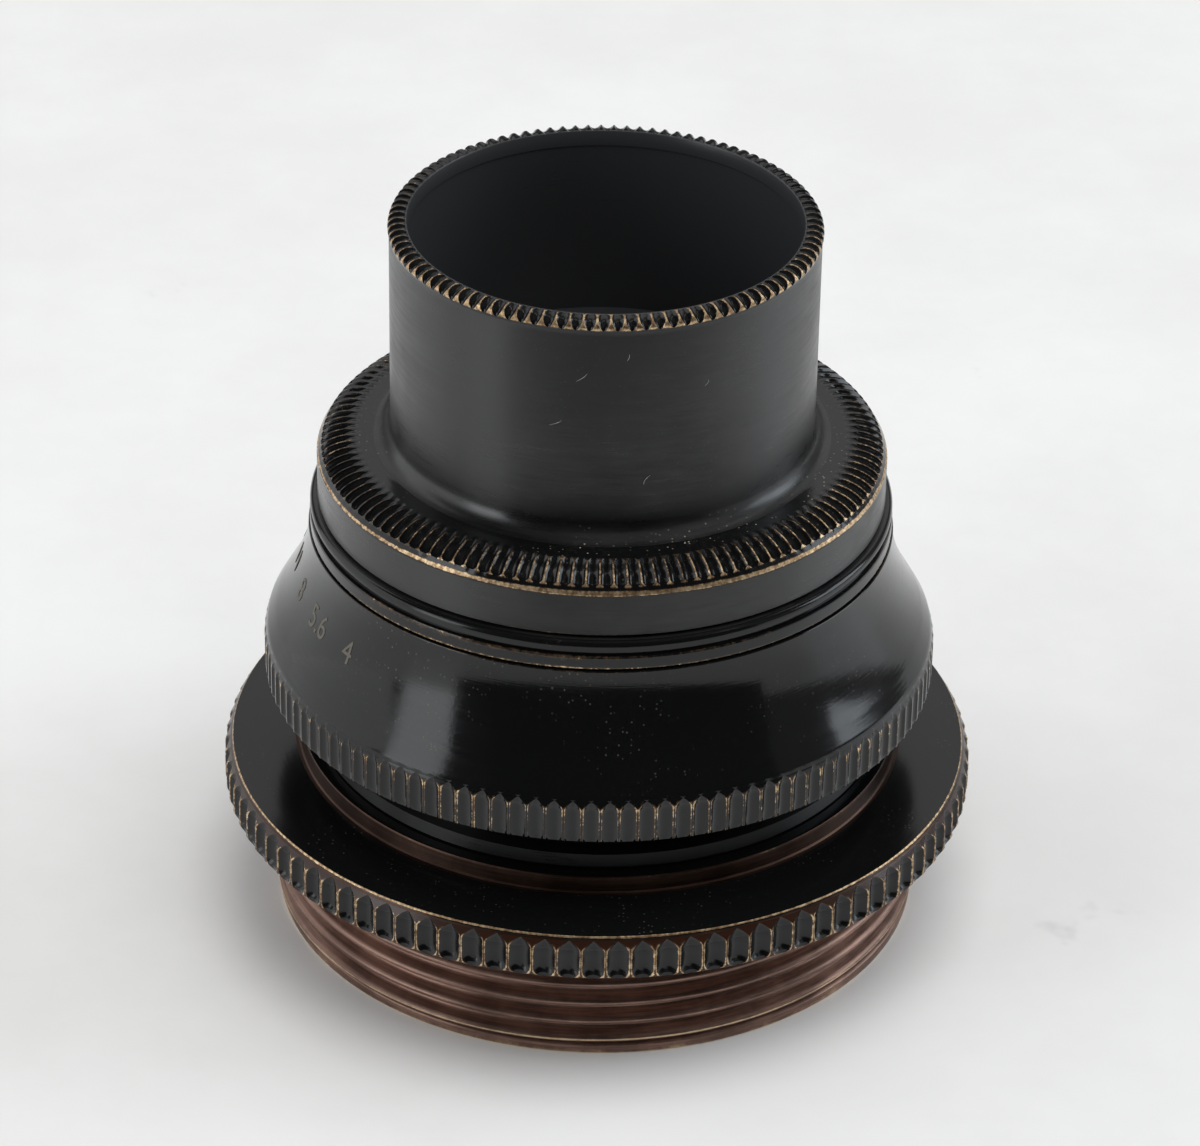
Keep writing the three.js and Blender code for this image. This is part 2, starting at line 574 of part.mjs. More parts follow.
// Rear cell: a tube with a flange that lands on the barrel's end, and a lip in front of the rear pair.
function rearCell() {
  const seat = REAR_GLASS_RADIUS + GLASS_FIT;
  const flangeOuter = REAR_CELL_RADIUS + REAR_FLANGE_WIDTH;
  let body = turned(
    [
      [seat, REAR_CELL_BOTTOM],
      [flangeOuter, REAR_CELL_BOTTOM],
      [flangeOuter, REAR_CELL_FLANGE_TOP],
      [REAR_CELL_RADIUS, REAR_CELL_FLANGE_TOP],
      [REAR_CELL_RADIUS, REAR_CELL_TOP],
      [REAR_LIP_RADIUS, REAR_CELL_TOP],
      [REAR_LIP_RADIUS, REAR_LIP_BOTTOM],
      [seat, REAR_LIP_BOTTOM],
    ],
    INNER_SIDES,
  );
  for (const angle of [0, 180])
    body = body.subtract(notchCutter(seat, flangeOuter, REAR_CELL_BOTTOM, angle));
  return body;
}

const lacquer = { color: 0x0c0c0d, roughness: 0.28, metalness: 0.35 };
const bronzed = { color: 0x3a2218, roughness: 0.45, metalness: 0.8 };
const blackened = { color: 0x141414, roughness: 0.7, metalness: 0.4 };
const brass = { color: 0xb08a4a, roughness: 0.35, metalness: 1.0 };
const steel = { color: 0x8a8d90, roughness: 0.35, metalness: 1.0 };
const crown = { color: 0xdfe8ea, roughness: 0.02, metalness: 0.0 };
const flint = { color: 0xe6e4d8, roughness: 0.02, metalness: 0.0 };

// A named mesh of a solid.
function piece(name, body, finish) {
  const { vertProperties, triVerts } = body.getMesh();
  const geometry = new THREE.BufferGeometry();
  geometry.setAttribute("position", new THREE.BufferAttribute(vertProperties, 3));
  geometry.setIndex(new THREE.BufferAttribute(triVerts, 1));
  const mesh = new THREE.Mesh(geometry, new THREE.MeshStandardMaterial(finish));
  mesh.name = name;
  return mesh;
}

function mountGroup() {
  const group = new THREE.Group();
  const lockTop = RING_BOTTOM - SEAT;
  const lockInner = BARREL_RADIUS + THREAD_FIT;
  const lock = spannerRing(lockInner, lockInner + LOCK_WIDTH, lockTop - LOCK_HEIGHT, lockTop);
  group.add(piece("mount_flange", mountFlange(), bronzed));
  group.add(piece("barrel", barrel(), lacquer));
  group.add(piece("iris_lock_ring", lock, blackened));
  return group;
}

function frontGroup() {
  const group = new THREE.Group();
  const retainer = spannerRing(
    FRONT_RETAINER_INNER,
    FRONT_GLASS_RADIUS,
    FRONT_RETAINER_BOTTOM,
    FRONT_RETAINER_TOP,
  );
  group.add(piece("hood_cell", hoodCell(), lacquer));
  group.add(piece("front_crown", glass(FRONT_CROWN, FRONT_GLASS_RADIUS, FRONT_VERTEX), crown));
  group.add(piece("front_flint", glass(FRONT_FLINT, FRONT_GLASS_RADIUS, FLINT_VERTEX), flint));
  group.add(piece("front_retainer", retainer, blackened));
  return group;
}

function rearGroup() {
  const group = new THREE.Group();
  const retainer = spannerRing(SPACER_INNER, REAR_GLASS_RADIUS, REAR_RETAINER_BOTTOM, REAR_RETAINER_TOP);
  const spacer = ring(SPACER_INNER, REAR_GLASS_RADIUS, SPACER_BOTTOM, SPACER_TOP);
  group.add(piece("rear_cell", rearCell(), brass));
  group.add(piece("rear_flint", glass(REAR_FLINT, REAR_GLASS_RADIUS, REAR_VERTEX), flint));
  group.add(piece("rear_spacer", spacer, blackened));
  group.add(piece("rear_crown", glass(REAR_CROWN, REAR_GLASS_RADIUS, REAR_CROWN_VERTEX), crown));
  group.add(piece("rear_retainer", retainer, blackened));
  return group;
}

function irisGroup() {
  const group = new THREE.Group();
  const keeperOuter = PACK_RADIUS - SEAT;
  const keeper = sector(
    keeperOuter - KEEPER_WIDTH,
    keeperOuter,
    KEEPER_BOTTOM,
    KEEPER_BOTTOM + KEEPER_HEIGHT,
    PIN_ANGLE + KEEPER_GAP / 2,
    PIN_ANGLE + 360 - KEEPER_GAP / 2,
    INNER_SIDES / 2,
  );
  group.add(piece("iris_control_ring", irisRing(), lacquer));
  group.add(piece("iris_drive_ring", driveRing(), blackened));
  group.add(piece("iris_drive_pin", drivePin(), steel));
  group.add(piece("drive_ring_keeper", keeper, steel));
  group.add(piece("iris_seat_ring", seatRing(), blackened));
  SEAT_SCREW_ANGLES.forEach((angle, i) => {
    group.add(piece("seat_screw_" + (i + 1), seatScrew(angle), steel));
  });
  for (let i = 0; i < BLADES; i++) {
    const number = String(i + 1).padStart(2, "0");
    group.add(piece("iris_blade_" + number, blade(i), blackened));
  }
  return group;
}

const lens = new THREE.Group();
lens.add(mountGroup(), frontGroup(), rearGroup(), irisGroup());

export default lens;
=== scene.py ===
"""Looks of a small brass portrait lens standing on its rear thread.

Every turned piece is a closed surface of revolution worked out with numpy. An outline is walked from the top
of the bore out over the top, down the outside, in under the foot and back up the bore, and each of its rows
becomes a ring. Knurls are cuts into those rings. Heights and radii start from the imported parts. Other
lengths are in millimetres and are scaled to metres when a mesh is made.
"""

import math

import bmesh
import bpy
import numpy as np
from mathutils import Matrix, Vector


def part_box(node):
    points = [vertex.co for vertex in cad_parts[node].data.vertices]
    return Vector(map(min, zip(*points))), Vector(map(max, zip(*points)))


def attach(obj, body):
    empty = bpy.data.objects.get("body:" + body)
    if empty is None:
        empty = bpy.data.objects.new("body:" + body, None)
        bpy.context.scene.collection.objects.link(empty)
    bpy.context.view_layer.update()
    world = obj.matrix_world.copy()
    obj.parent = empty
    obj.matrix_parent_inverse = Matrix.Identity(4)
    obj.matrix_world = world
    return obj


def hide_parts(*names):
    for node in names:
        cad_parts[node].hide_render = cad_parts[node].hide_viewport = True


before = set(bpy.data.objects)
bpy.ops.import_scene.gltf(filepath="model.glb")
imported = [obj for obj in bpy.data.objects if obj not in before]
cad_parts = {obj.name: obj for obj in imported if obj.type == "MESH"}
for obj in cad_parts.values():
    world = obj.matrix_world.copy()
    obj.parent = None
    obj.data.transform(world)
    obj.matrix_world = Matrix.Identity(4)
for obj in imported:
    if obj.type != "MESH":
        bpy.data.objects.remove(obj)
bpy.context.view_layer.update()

MM = 0.001


def low_of(node):
    """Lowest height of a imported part, in millimetres."""
    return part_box(node)[0].z / MM


def top_of(node):
    """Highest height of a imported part, in millimetres."""
    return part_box(node)[1].z / MM


def radius_of(node):
    """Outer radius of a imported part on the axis, in millimetres."""
    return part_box(node)[1].x / MM


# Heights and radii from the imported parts.
HOOD_TOP = top_of("hood_cell")
CELL_BOTTOM = low_of("hood_cell")
COLLAR_RADIUS = radius_of("hood_cell")
NECK_TOP = top_of("barrel")
NECK_RADIUS = radius_of("barrel")
BARREL_BOTTOM = low_of("barrel")
RING_BOTTOM = low_of("iris_control_ring")
RING_TOP = top_of("iris_control_ring")
BAND_RADIUS = radius_of("iris_control_ring")
BOSS_TOP = top_of("mount_flange")
FLANGE_RADIUS = radius_of("mount_flange")

# Hood and collar.
SEAM = 0.1  # between turned pieces that meet face to face
COLLAR_BOTTOM = NECK_TOP + SEAM
COLLAR_TOP = COLLAR_BOTTOM + 3.14
COLLAR_EDGE = COLLAR_TOP - 1.0
HOOD_RADIUS = COLLAR_RADIUS - 3.5
HOOD_BORE = HOOD_RADIUS - 0.8
LIP_BORE = HOOD_BORE - 0.05
FOOT_FILLET = 0.8
BEAD_WIDTH = 0.54  # half widths of the rim bead, across and up
BEAD_HEIGHT = 0.38
DIMPLE_DEPTH = 0.17
BEVEL_WIDTH = 1.7
GROOVE_DEPTH = 0.19
GLASS_SEAT = HOOD_BORE + 0.1
CELL_RADIUS = 12.0
RIM_KNURLS = 100
COLLAR_KNURLS = 130

# Barrel and control ring.
BARREL_RADIUS = NECK_RADIUS - 0.98
NECK_GROOVE = NECK_RADIUS - 0.2
NECK_ROUND = 0.28
STOP_HEIGHT = 0.7
PACK_RADIUS = BARREL_RADIUS - 0.9
SINK_RADIUS = BARREL_RADIUS - 2.15
PIN_PLAY = 0.15  # above and below the drive pin in the barrel's slot
SLOT_START = 91  # ends of the barrel's slot, in degrees
SLOT_END = 161
RING_BORE = BARREL_RADIUS + 0.15
CONE_TOP_RADIUS = NECK_RADIUS + 0.07
CONE_FLARE = 1.65
CONE_HEIGHT = 4.84
CONE_HOLLOW = 1.84
SHOULDER_RADIUS = BAND_RADIUS - 0.12
BAND_TIP = RING_BOTTOM + 2.2
BAND_NOTCH = RING_BOTTOM + 1.8
FLUTE_DEPTH = 0.17
FLUTE_WIDTH = 0.86
BAND_KNURLS = 119
LOCK_BREAK = 0.06  # broken edges of the lock ring

# Aperture numbers on the cone, each with its angle round from the front, in degrees.
NUMBERS = (("4", 54), ("5.6", 66), ("8", 78), ("11", 90), ("16", 103), ("22", 116))
NUMBER_SIZE = 1.6
NUMBER_LINE = RING_TOP - 3.1
NUMBER_PROUD = 0.015
NUMBER_SUNK = 0.1

# Mount flange and thread.
FLANGE_BORE = BARREL_RADIUS + 0.1
BOSS_RADIUS = BARREL_RADIUS + 1.58
FLANGE_TOP = BOSS_TOP - 1.02
FLANGE_BOTTOM = FLANGE_TOP - 2.18
FLANGE_EDGE = FLANGE_RADIUS - 0.4
DISH_TOP = FLANGE_TOP + 0.18
SCALLOP_TIP = FLANGE_TOP - 0.2
SCALLOP_NOTCH = FLANGE_TOP - 0.62
FLANGE_KNURLS = 100
THREAD_RADIUS = FLANGE_RADIUS - 2.475
THREAD_DEPTH = 0.68
THREAD_PITCH = 25.4 / 24
THREAD_CREST = 4.02  # height of a crest at the front
THREAD_LOW = 0.62
THREAD_HIGH = FLANGE_BOTTOM - 0.4
THREAD_LIP = THREAD_RADIUS - 0.09
CREST_SHARE = 0.05  # half a crest and one flank, as shares of the pitch
FLANK_SHARE = 0.37

# Radii of curvature of each glass, front and rear; a hollow face is negative.
FRONT_CROWN_FACES = (34, 26)
FRONT_FLINT_FACES = (-26, 125)
REAR_FLINT_FACES = (60, -22)
REAR_CROWN_FACES = (24, 45)

# Lint: each fibre's angle and height where it starts, its turn and climb, and its bow. Angles but the first
# are in radians.
FIBRES = (
    (-97, 33.3, 0.05, 0.45, 0.008),
    (-104, 30.9, 0.06, 0.35, 0.012),
    (-84, 34.4, 0.01, 0.35, 0.004),
    (-79, 27.9, 0.03, 0.5, -0.01),
    (-63, 32.6, 0.02, 0.3, 0.006),
)
FIBRE_RADIUS = 0.014
FIBRE_LIFT = 0.012

# How a knurl's cut is divided: shares of its half width, from one edge to the other.
CUT_SHARES = np.array([-1.0, -0.8, -0.45, 0.0, 0.45, 0.8, 1.0])
COLUMNS = 360  # of a turned piece without a knurl
PLAIN_KNURLS = 24  # divisions of a small turned piece without a cut


# --------------------------------------------------------------------------------------------- meshes


class Outline:
    """Rows of a turned piece: radius, height, half width and depth of the cut, wear, dust and finish."""

    def __init__(self):
        self.parts = []

    def add(self, radii, heights, cut=0.6, depth=0.0, wear=0.0, dust=0.0, finish=0):
        """Adds rows; a single number is repeated for each of them."""
        values = (radii, heights, cut, depth, wear, dust, finish)
        columns = [np.atleast_1d(np.asarray(value, float)) for value in values]
        self.parts.append(np.stack(np.broadcast_arrays(*columns), axis=1))

    def rows(self):
        """All rows so far, one to a line."""
        return np.concatenate(self.parts)


def curve(centre, across, up, start, end, steps):
    """Radii and heights of an elliptical arc about centre, from start to end degrees."""
    angle = np.radians(np.linspace(start, end, steps))
    return centre[0] + across * np.cos(angle), centre[1] + up * np.sin(angle)


def straight(start, end, steps):
    """Radii and heights of a straight stretch."""
    share = np.linspace(0, 1, steps)
    return start[0] + (end[0] - start[0]) * share, start[1] + (end[1] - start[1]) * share


def on_scene(name, data):
    """A new object of the scene, at the origin."""
    made = bpy.data.objects.new(name, data)
    bpy.context.scene.collection.objects.link(made)
    return made


def mesh_of(name, points, faces, finishes, face_finish=None, marks=None, smooth_angle=32):
    """A mesh object from points in millimetres, with doubled points merged and sharp edges marked."""
    mesh = bpy.data.meshes.new(name)
    mesh.from_pydata((points * MM).tolist(), [], faces.tolist())
    for label, values in (marks or {}).items():
        mark = mesh.attributes.new(label, "FLOAT", "POINT")
        mark.data.foreach_set("value", values.astype(np.float32))
    for finish in finishes:
        mesh.materials.append(finish)
    if face_finish is not None:
        mesh.polygons.foreach_set("material_index", face_finish.astype(np.int32))
    work = bmesh.new()
    work.from_mesh(mesh)
    bmesh.ops.remove_doubles(work, verts=work.verts, dist=1e-7)
    bmesh.ops.dissolve_degenerate(work, edges=work.edges, dist=1e-8)
    work.to_mesh(mesh)
    work.free()
    mesh.polygons.foreach_set("use_smooth", np.ones(len(mesh.polygons), bool))
    mesh.set_sharp_from_angle(angle=math.radians(smooth_angle))
    return on_scene(name, mesh)


def grid_faces(rows, columns, close_rows=True, close_columns=True):
    """Quads of a grid whose rows and columns each close into a loop if asked."""
    row = np.arange(rows if close_rows else rows - 1)[:, None]
    column = np.arange(columns if close_columns else columns - 1)[None, :]
    here, below = row * columns, (row + 1) % rows * columns
    beside = (column + 1) % columns
    corners = (here + column, below + column, below + beside, here + beside)
    return np.stack(np.broadcast_arrays(*corners), axis=-1).reshape(-1, 4)


def turned(name, outline, finishes, knurls=PLAIN_KNURLS, land=1.0, back_shade=0.35, closed=True):
    """A turned piece with a knurl.

    Each row is a ring. In every pitch of the knurl the ring has a point in the middle of the land and seven
    across the cut. Across a cut the surface sinks along the outline's normal by depth times one less the
    square of the share of the half width, so the cut is a hollow and the lands between stay proud. Wear is
    full on the cut's two edges and times the land share in the middle of a land. The back shade thins the
    worn brass towards the back of the piece, away from the front, as painted shade of the far side. The land
    mark is nought inside a cut and one everywhere else. The outline of a piece that isn't closed starts and
    ends on the axis.
    """
    radius, height, cut, depth, wear, dust, finish = outline.rows().T
    run = np.roll(radius, -1) - np.roll(radius, 1)
    rise = np.roll(height, -1) - np.roll(height, 1)
    size = np.hypot(run, rise)
    shares = np.concatenate([[0.0], CUT_SHARES])
    across = cut[:, None] * shares
    across[:, 0] = -1.0
    sink = depth[:, None] * (1 - shares**2)
    sink[:, 0] = 0.0
    pitch = 2 * np.pi / knurls
    angle = ((np.arange(knurls)[:, None, None] + across[None] / 2) * pitch).transpose(1, 0, 2)
    angle = angle.reshape(len(radius), -1)
    sink = np.tile(sink, (1, knurls))
    ring_radius = radius[:, None] + sink * (rise / size)[:, None]
    ring_height = height[:, None] - sink * (run / size)[:, None]
    points = np.stack([ring_radius * np.cos(angle), ring_radius * np.sin(angle), ring_height], axis=-1)
    on_land = np.where(np.abs(shares) >= 1, 1.0, 0.0)
    on_land[0] = land
    is_cut = depth[:, None] > 0
    worn_here = np.where(is_cut, np.tile(on_land, knurls)[None], 1.0)
    # Painted shade: the worn brass is thinned towards the back of the piece, away from the front; the rest
    # of the wear mark is real wear.
    back_shading = 1 - back_shade * (0.5 + 0.5 * np.sin(angle)) ** 1.2
    marks = {
        "wear": (wear[:, None] * worn_here * back_shading).ravel(),
        "dust": np.repeat(dust, angle.shape[1]),
        "land": np.where(is_cut, np.tile(on_land > 0, knurls)[None], 1.0).ravel(),
    }
    faces = grid_faces(len(radius), angle.shape[1], close_rows=closed)
    face_finish = np.repeat(finish if closed else finish[:-1], angle.shape[1])
    return mesh_of(name, points.reshape(-1, 3), faces, finishes, face_finish, marks)


def slotted(name, outline, finishes, outside, inside, start, end):
    """A plain turned piece, one column to a degree, with a slot through its wall between two angles.

    The slot leaves out the quads below row outside and above row inside, and four strips of quads line it.
    """
    radius, height, _, _, wear, dust, finish = outline.rows().T
    angle = np.radians(np.arange(COLUMNS))
    rings = [radius[:, None] * np.cos(angle), radius[:, None] * np.sin(angle), height[:, None] + 0 * angle]
    points = np.stack(rings, axis=-1).reshape(-1, 3)
    faces = grid_faces(len(radius), COLUMNS)
    keep = np.ones((len(radius), COLUMNS), bool)
    keep[outside, start:end] = False
    keep[inside, start:end] = False
    keep = keep.ravel()
    here = np.arange(start, end)
    beside = here + 1
    out_top, out_low = outside * COLUMNS, (outside + 1) * COLUMNS
    in_low, in_top = inside * COLUMNS, (inside + 1) * COLUMNS
    roof = np.stack([out_top + beside, out_top + here, in_top + here, in_top + beside], axis=-1)
    sill = np.stack([out_low + here, out_low + beside, in_low + beside, in_low + here], axis=-1)
    jambs = [
        [out_top + start, out_low + start, in_low + start, in_top + start],
        [out_low + end, out_top + end, in_top + end, in_low + end],
    ]
    lining = np.concatenate([roof, sill, np.array(jambs)])
    lining_finish = np.repeat(finish[inside], len(lining))
    face_finish = np.concatenate([np.repeat(finish, COLUMNS)[keep], lining_finish])
    marks = {"wear": np.repeat(wear, COLUMNS), "dust": np.repeat(dust, COLUMNS)}
    return mesh_of(name, points, np.concatenate([faces[keep], lining]), finishes, face_finish, marks)


def thread_sleeve(name, finishes):
    """The male thread: a sleeve whose outer rows climb one pitch in each turn.

    A point's radius depends on how far it is through its turn: a crest, and flanks that sink to the root by
    a smooth step. Rows that would pass the sleeve's ends stop there, and doubled points are merged
    afterwards. Crests are worn most near the foot.
    """
    angle = np.linspace(0, 2 * np.pi, COLUMNS + 1)
    climb = (angle + np.pi / 2) / (2 * np.pi)
    phases = np.array([0.0, 0.1, 0.2, 0.3, 0.4, 0.45, 0.5, 0.55, 0.6, 0.7, 0.8, 0.9])
    first = math.floor((THREAD_LOW - THREAD_CREST) / THREAD_PITCH) - 3
    last = math.ceil((THREAD_HIGH - THREAD_CREST) / THREAD_PITCH) + 3
    turns = (np.arange(last, first, -1)[:, None] - phases[None]).reshape(-1, 1)
    height = np.clip(THREAD_CREST + (turns + climb[None]) * THREAD_PITCH, THREAD_LOW, THREAD_HIGH)
    through = (height - THREAD_CREST) / THREAD_PITCH - climb[None]
    from_crest = np.abs(through - np.round(through))
    share = np.clip((from_crest - CREST_SHARE) / FLANK_SHARE, 0, 1)
    radius = THREAD_RADIUS - THREAD_DEPTH * (3 * share**2 - 2 * share**3) * 0.95
    crest_wear = np.interp(height, [0.9, 1.8, 5.5], [0.95, 0.42, 0.3])
    worn = np.clip(1 - from_crest / (2 * CREST_SHARE), 0, 1) * crest_wear
    above = Outline()
    above.add(FLANGE_BORE, [0.5, FLANGE_BOTTOM])
    above.add(THREAD_RADIUS - THREAD_DEPTH, [FLANGE_BOTTOM, THREAD_HIGH + 0.05])
    foot = Outline()
    foot.add([THREAD_LIP - 0.3, THREAD_LIP - 0.03, THREAD_LIP], [0.58, 0.5, 0.44], wear=[0, 0.2, 0.2])
    foot.add([THREAD_LIP, THREAD_LIP - 0.02, THREAD_LIP - 0.1], [0.1, 0.04, 0.0], wear=[0.5, 1.0, 0.6])
    foot.add([FLANGE_BORE + 0.3, FLANGE_BORE], [0.0, 0.3], wear=0.2)

    def all_round(climbing, number):
        """The climbing rows' values, between one column of the plain rows' values repeated all round."""
        ends = [np.repeat(plain.rows()[:, number, None], len(angle), axis=1) for plain in (above, foot)]
        return np.concatenate([ends[0], climbing, ends[1]])

    radii = all_round(radius, 0)
    heights = all_round(height, 1)
    wear = all_round(worn, 4)
    points = np.stack([radii * np.cos(angle), radii * np.sin(angle), heights], axis=-1)
    faces = grid_faces(*radii.shape, close_columns=False)
    marks = {"wear": wear.ravel(), "dust": np.zeros(wear.size)}
    return mesh_of(name, points.reshape(-1, 3), faces, finishes, marks=marks, smooth_angle=50)


def place(piece, body, slot, *nodes):
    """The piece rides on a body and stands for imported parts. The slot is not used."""
    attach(piece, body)
    if nodes:
        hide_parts(*nodes)
    return piece


# ------------------------------------------------------------------------------------------ materials


def add(tree, kind, inputs=(), output=0, **settings):
    """A shader node with its inputs set or linked; returns one output."""
    made = tree.nodes.new("ShaderNode" + kind)
    for key, value in settings.items():
        setattr(made, key, value)
    set_inputs(tree, made, dict(inputs))
    return made.outputs[output]


def set_inputs(tree, node, values):
    """Links each input that is given a socket, and sets the others."""
    for key, value in values.items():
        if isinstance(value, bpy.types.NodeSocket):
            tree.links.new(value, node.inputs[key])
        else:
            node.inputs[key].default_value = value


def maths(tree, operation, a, b=0.0, c=0.0):
    """An arithmetic step on two or three numbers."""
    return add(tree, "Math", {0: a, 1: b, 2: c}, operation=operation)


def vary(tree, pattern, amount, base):
    """A base value moved up and down by a pattern that runs from nought to one."""
    return maths(tree, "MULTIPLY_ADD", maths(tree, "SUBTRACT", pattern, 0.5), amount, base)


def blend(tree, factor, a, b):
    """Blends two colours, given as four numbers or a colour socket."""
    return add(tree, "Mix", {0: factor, 6: a, 7: b}, output=2, data_type="RGBA")


def blend_number(tree, factor, a, b):
    """Blends two numbers."""
    return add(tree, "Mix", {0: factor, 2: a, 3: b}, data_type="FLOAT")


def ramp(tree, value, low, high, start=0.0, end=1.0):
    """A smooth step of a value between two limits."""
    inputs = {0: value, 1: low, 2: high, 3: start, 4: end}
    return add(tree, "MapRange", inputs, interpolation_type="SMOOTHSTEP")


def noise(tree, vector, scale, detail=2.0, roughness=0.5):
    """Noise with a number of cells to a metre."""
    inputs = {"Vector": vector, "Scale": scale, "Detail": detail, "Roughness": roughness}
    return add(tree, "TexNoise", inputs)


def place_of(tree):
    """Object coordinates, and the distance from the axis."""
    point = add(tree, "TexCoord", output=3)
    flat = add(tree, "VectorMath", {0: point, 1: (1, 1, 0)}, operation="MULTIPLY")
    distance = add(tree, "VectorMath", {0: flat}, output=1, operation="LENGTH")
    return point, distance


def turning_marks(tree, point, distance, density):
    """Fine rings round the axis: noise that varies fast with radius and height, and slowly all round."""
    apart = add(tree, "SeparateXYZ", {0: point})
    height = apart.node.outputs[2]
    across = maths(tree, "MULTIPLY", distance, density)
    up = maths(tree, "MULTIPLY", height, density)
    slow = maths(tree, "MULTIPLY", maths(tree, "ADD", apart, apart.node.outputs[1]), 420)
    vector = add(tree, "CombineXYZ", {0: across, 1: up, 2: slow})
    return noise(tree, vector, 1.0, 3.0, 0.6)


def attribute(tree, name):
    """A mark kept on the mesh's points."""
    return add(tree, "Attribute", output=2, attribute_name=name)


def specks(tree, point, scale, size, share):
    """Scattered specks: small discs about the cells' centres, kept in a share of the cells."""
    cell = add(tree, "TexVoronoi", {"Vector": point, "Scale": scale, "Randomness": 1.0})
    disc = ramp(tree, cell, size, size * 0.5)
    lot = add(tree, "SeparateColor", {0: cell.node.outputs["Color"]})
    kept = maths(tree, "LESS_THAN", lot, share)
    return maths(tree, "MULTIPLY", disc, kept)


def new_material(name):
    """A new material, with its node tree and its shader."""
    material = bpy.data.materials.new(name)
    material.use_nodes = True
    tree = material.node_tree
    return material, tree, tree.nodes["Principled BSDF"]


BRASS = (0.80, 0.61, 0.38, 1)
BRASS_DEEP = (0.30, 0.18, 0.095, 1)
DUST = (0.40, 0.36, 0.28, 1)
BUMP_DEPTH = 1e-5
BREAKUP = 0.7  # how far noise moves the edge of worn places
DUST_SHARE = 0.22


def coated(name, coat, gloss, marks=0.06, under=BRASS, brushed=0.0, land=None, index=1.44):
    """A coat worn through to brass.

    The wear mark plus noise, stepped, shows brass. Rings of turning marks and broad rubbed patches vary the
    gloss, and dust specks lie where the dust mark is set. A brushed coat's gloss is drawn out in line with
    its turning. A land colour takes the coat's place outside the cuts of a knurl.
    """
    material, tree, shader = new_material(name)
    point, distance = place_of(tree)
    close_rings = turning_marks(tree, point, distance, 10000)
    broad_rings = turning_marks(tree, point, distance, 3600)
    rings = maths(tree, "MULTIPLY", maths(tree, "ADD", close_rings, broad_rings), 0.5)
    patches = noise(tree, point, 180, 3.0, 0.6)
    fine = noise(tree, point, 4200, 3.0, 0.7)
    worn = vary(tree, fine, BREAKUP, attribute(tree, "wear"))
    worn = vary(tree, patches, BREAKUP, worn)
    bare = ramp(tree, worn, 0.5, 0.62)
    halo = ramp(tree, worn, 0.28, 0.55)
    brass = blend(tree, ramp(tree, fine, 0.35, 0.7), BRASS_DEEP, under)
    tint = tuple(0.55 * c + 0.45 * b for c, b in zip(coat, BRASS_DEEP))
    if land:
        coat = blend(tree, ramp(tree, attribute(tree, "land"), 0.3, 0.8), coat, land)
    skin = blend(tree, maths(tree, "MULTIPLY", halo, 0.5), coat, tint)
    colour = blend(tree, bare, skin, brass)
    rubbed = vary(tree, rings, marks * 2, gloss)
    rubbed = vary(tree, patches, marks * 2, rubbed)
    rough = blend_number(tree, bare, rubbed, 0.45)
    settled = maths(tree, "MULTIPLY", attribute(tree, "dust"), ramp(tree, patches, 0.38, 0.72))
    grains = specks(tree, point, 5200, 0.30, DUST_SHARE)
    bits = specks(tree, point, 1900, 0.16, DUST_SHARE * 0.35)
    dust = maths(tree, "MULTIPLY", maths(tree, "MAXIMUM", grains, bits), settled)
    haze = maths(tree, "MULTIPLY", ramp(tree, fine, 0.45, 0.8), settled)
    dusty = maths(tree, "MAXIMUM", maths(tree, "MULTIPLY", dust, 0.6), maths(tree, "MULTIPLY", haze, 0.025))
    colour = blend(tree, dusty, colour, DUST)
    rough = blend_number(tree, dusty, rough, 0.9)
    metallic = maths(tree, "MULTIPLY", bare, maths(tree, "SUBTRACT", 1.0, dusty))
    relief = maths(tree, "MULTIPLY_ADD", fine, 0.4, rings)
    relief = maths(tree, "MULTIPLY_ADD", bare, -0.8, relief)
    bumped = add(tree, "Bump", {"Strength": 0.45, "Distance": BUMP_DEPTH, "Height": relief})
    values = {"Base Color": colour, "Metallic": metallic, "Roughness": rough, "Normal": bumped, "IOR": index}
    if brushed:
        round_axis = add(tree, "Tangent", direction_type="RADIAL", axis="Z")
        values.update({"Anisotropic": brushed, "Anisotropic Rotation": 0.25, "Tangent": round_axis})
    set_inputs(tree, shader, values)
    return material


def patina(name, dark, light, gloss):
    """Bronze-brown patina over brass: metal whose colour wanders between two browns, bright where worn."""
    material, tree, shader = new_material(name)
    point, distance = place_of(tree)
    rings = turning_marks(tree, point, distance, 9000)
    clouds = noise(tree, point, 320, 4.0, 0.65)
    fine = noise(tree, point, 3600, 3.0, 0.7)
    shade = maths(tree, "MULTIPLY_ADD", rings, 0.5, maths(tree, "MULTIPLY", clouds, 0.5))
    brown = blend(tree, ramp(tree, shade, 0.35, 0.65), dark, light)
    worn = vary(tree, fine, 0.5, attribute(tree, "wear"))
    worn = vary(tree, clouds, 0.9, worn)
    bare = ramp(tree, worn, 0.35, 0.95)
    relief = maths(tree, "MULTIPLY_ADD", fine, 0.5, rings)
    values = {
        "Base Color": blend(tree, bare, brown, BRASS),
        "Metallic": 0.85,
        "Roughness": vary(tree, clouds, 0.3, gloss),
        "Normal": add(tree, "Bump", {"Strength": 0.3, "Distance": BUMP_DEPTH, "Height": relief}),
    }
    set_inputs(tree, shader, values)
    return material


def metal(name, colour, gloss, metallic=1.0):
    """Plain turned metal with rings of turning marks."""
    material, tree, shader = new_material(name)
    point, distance = place_of(tree)
    rings = turning_marks(tree, point, distance, 12000)
    dark = tuple(0.7 * c for c in colour[:3]) + (1,)
    values = {
        "Base Color": blend(tree, rings, dark, colour),
        "Metallic": metallic,
        "Roughness": maths(tree, "MULTIPLY_ADD", rings, 0.2, gloss - 0.1),
        "Normal": add(tree, "Bump", {"Strength": 0.2, "Distance": BUMP_DEPTH, "Height": rings}),
    }
    set_inputs(tree, shader, values)
    return material


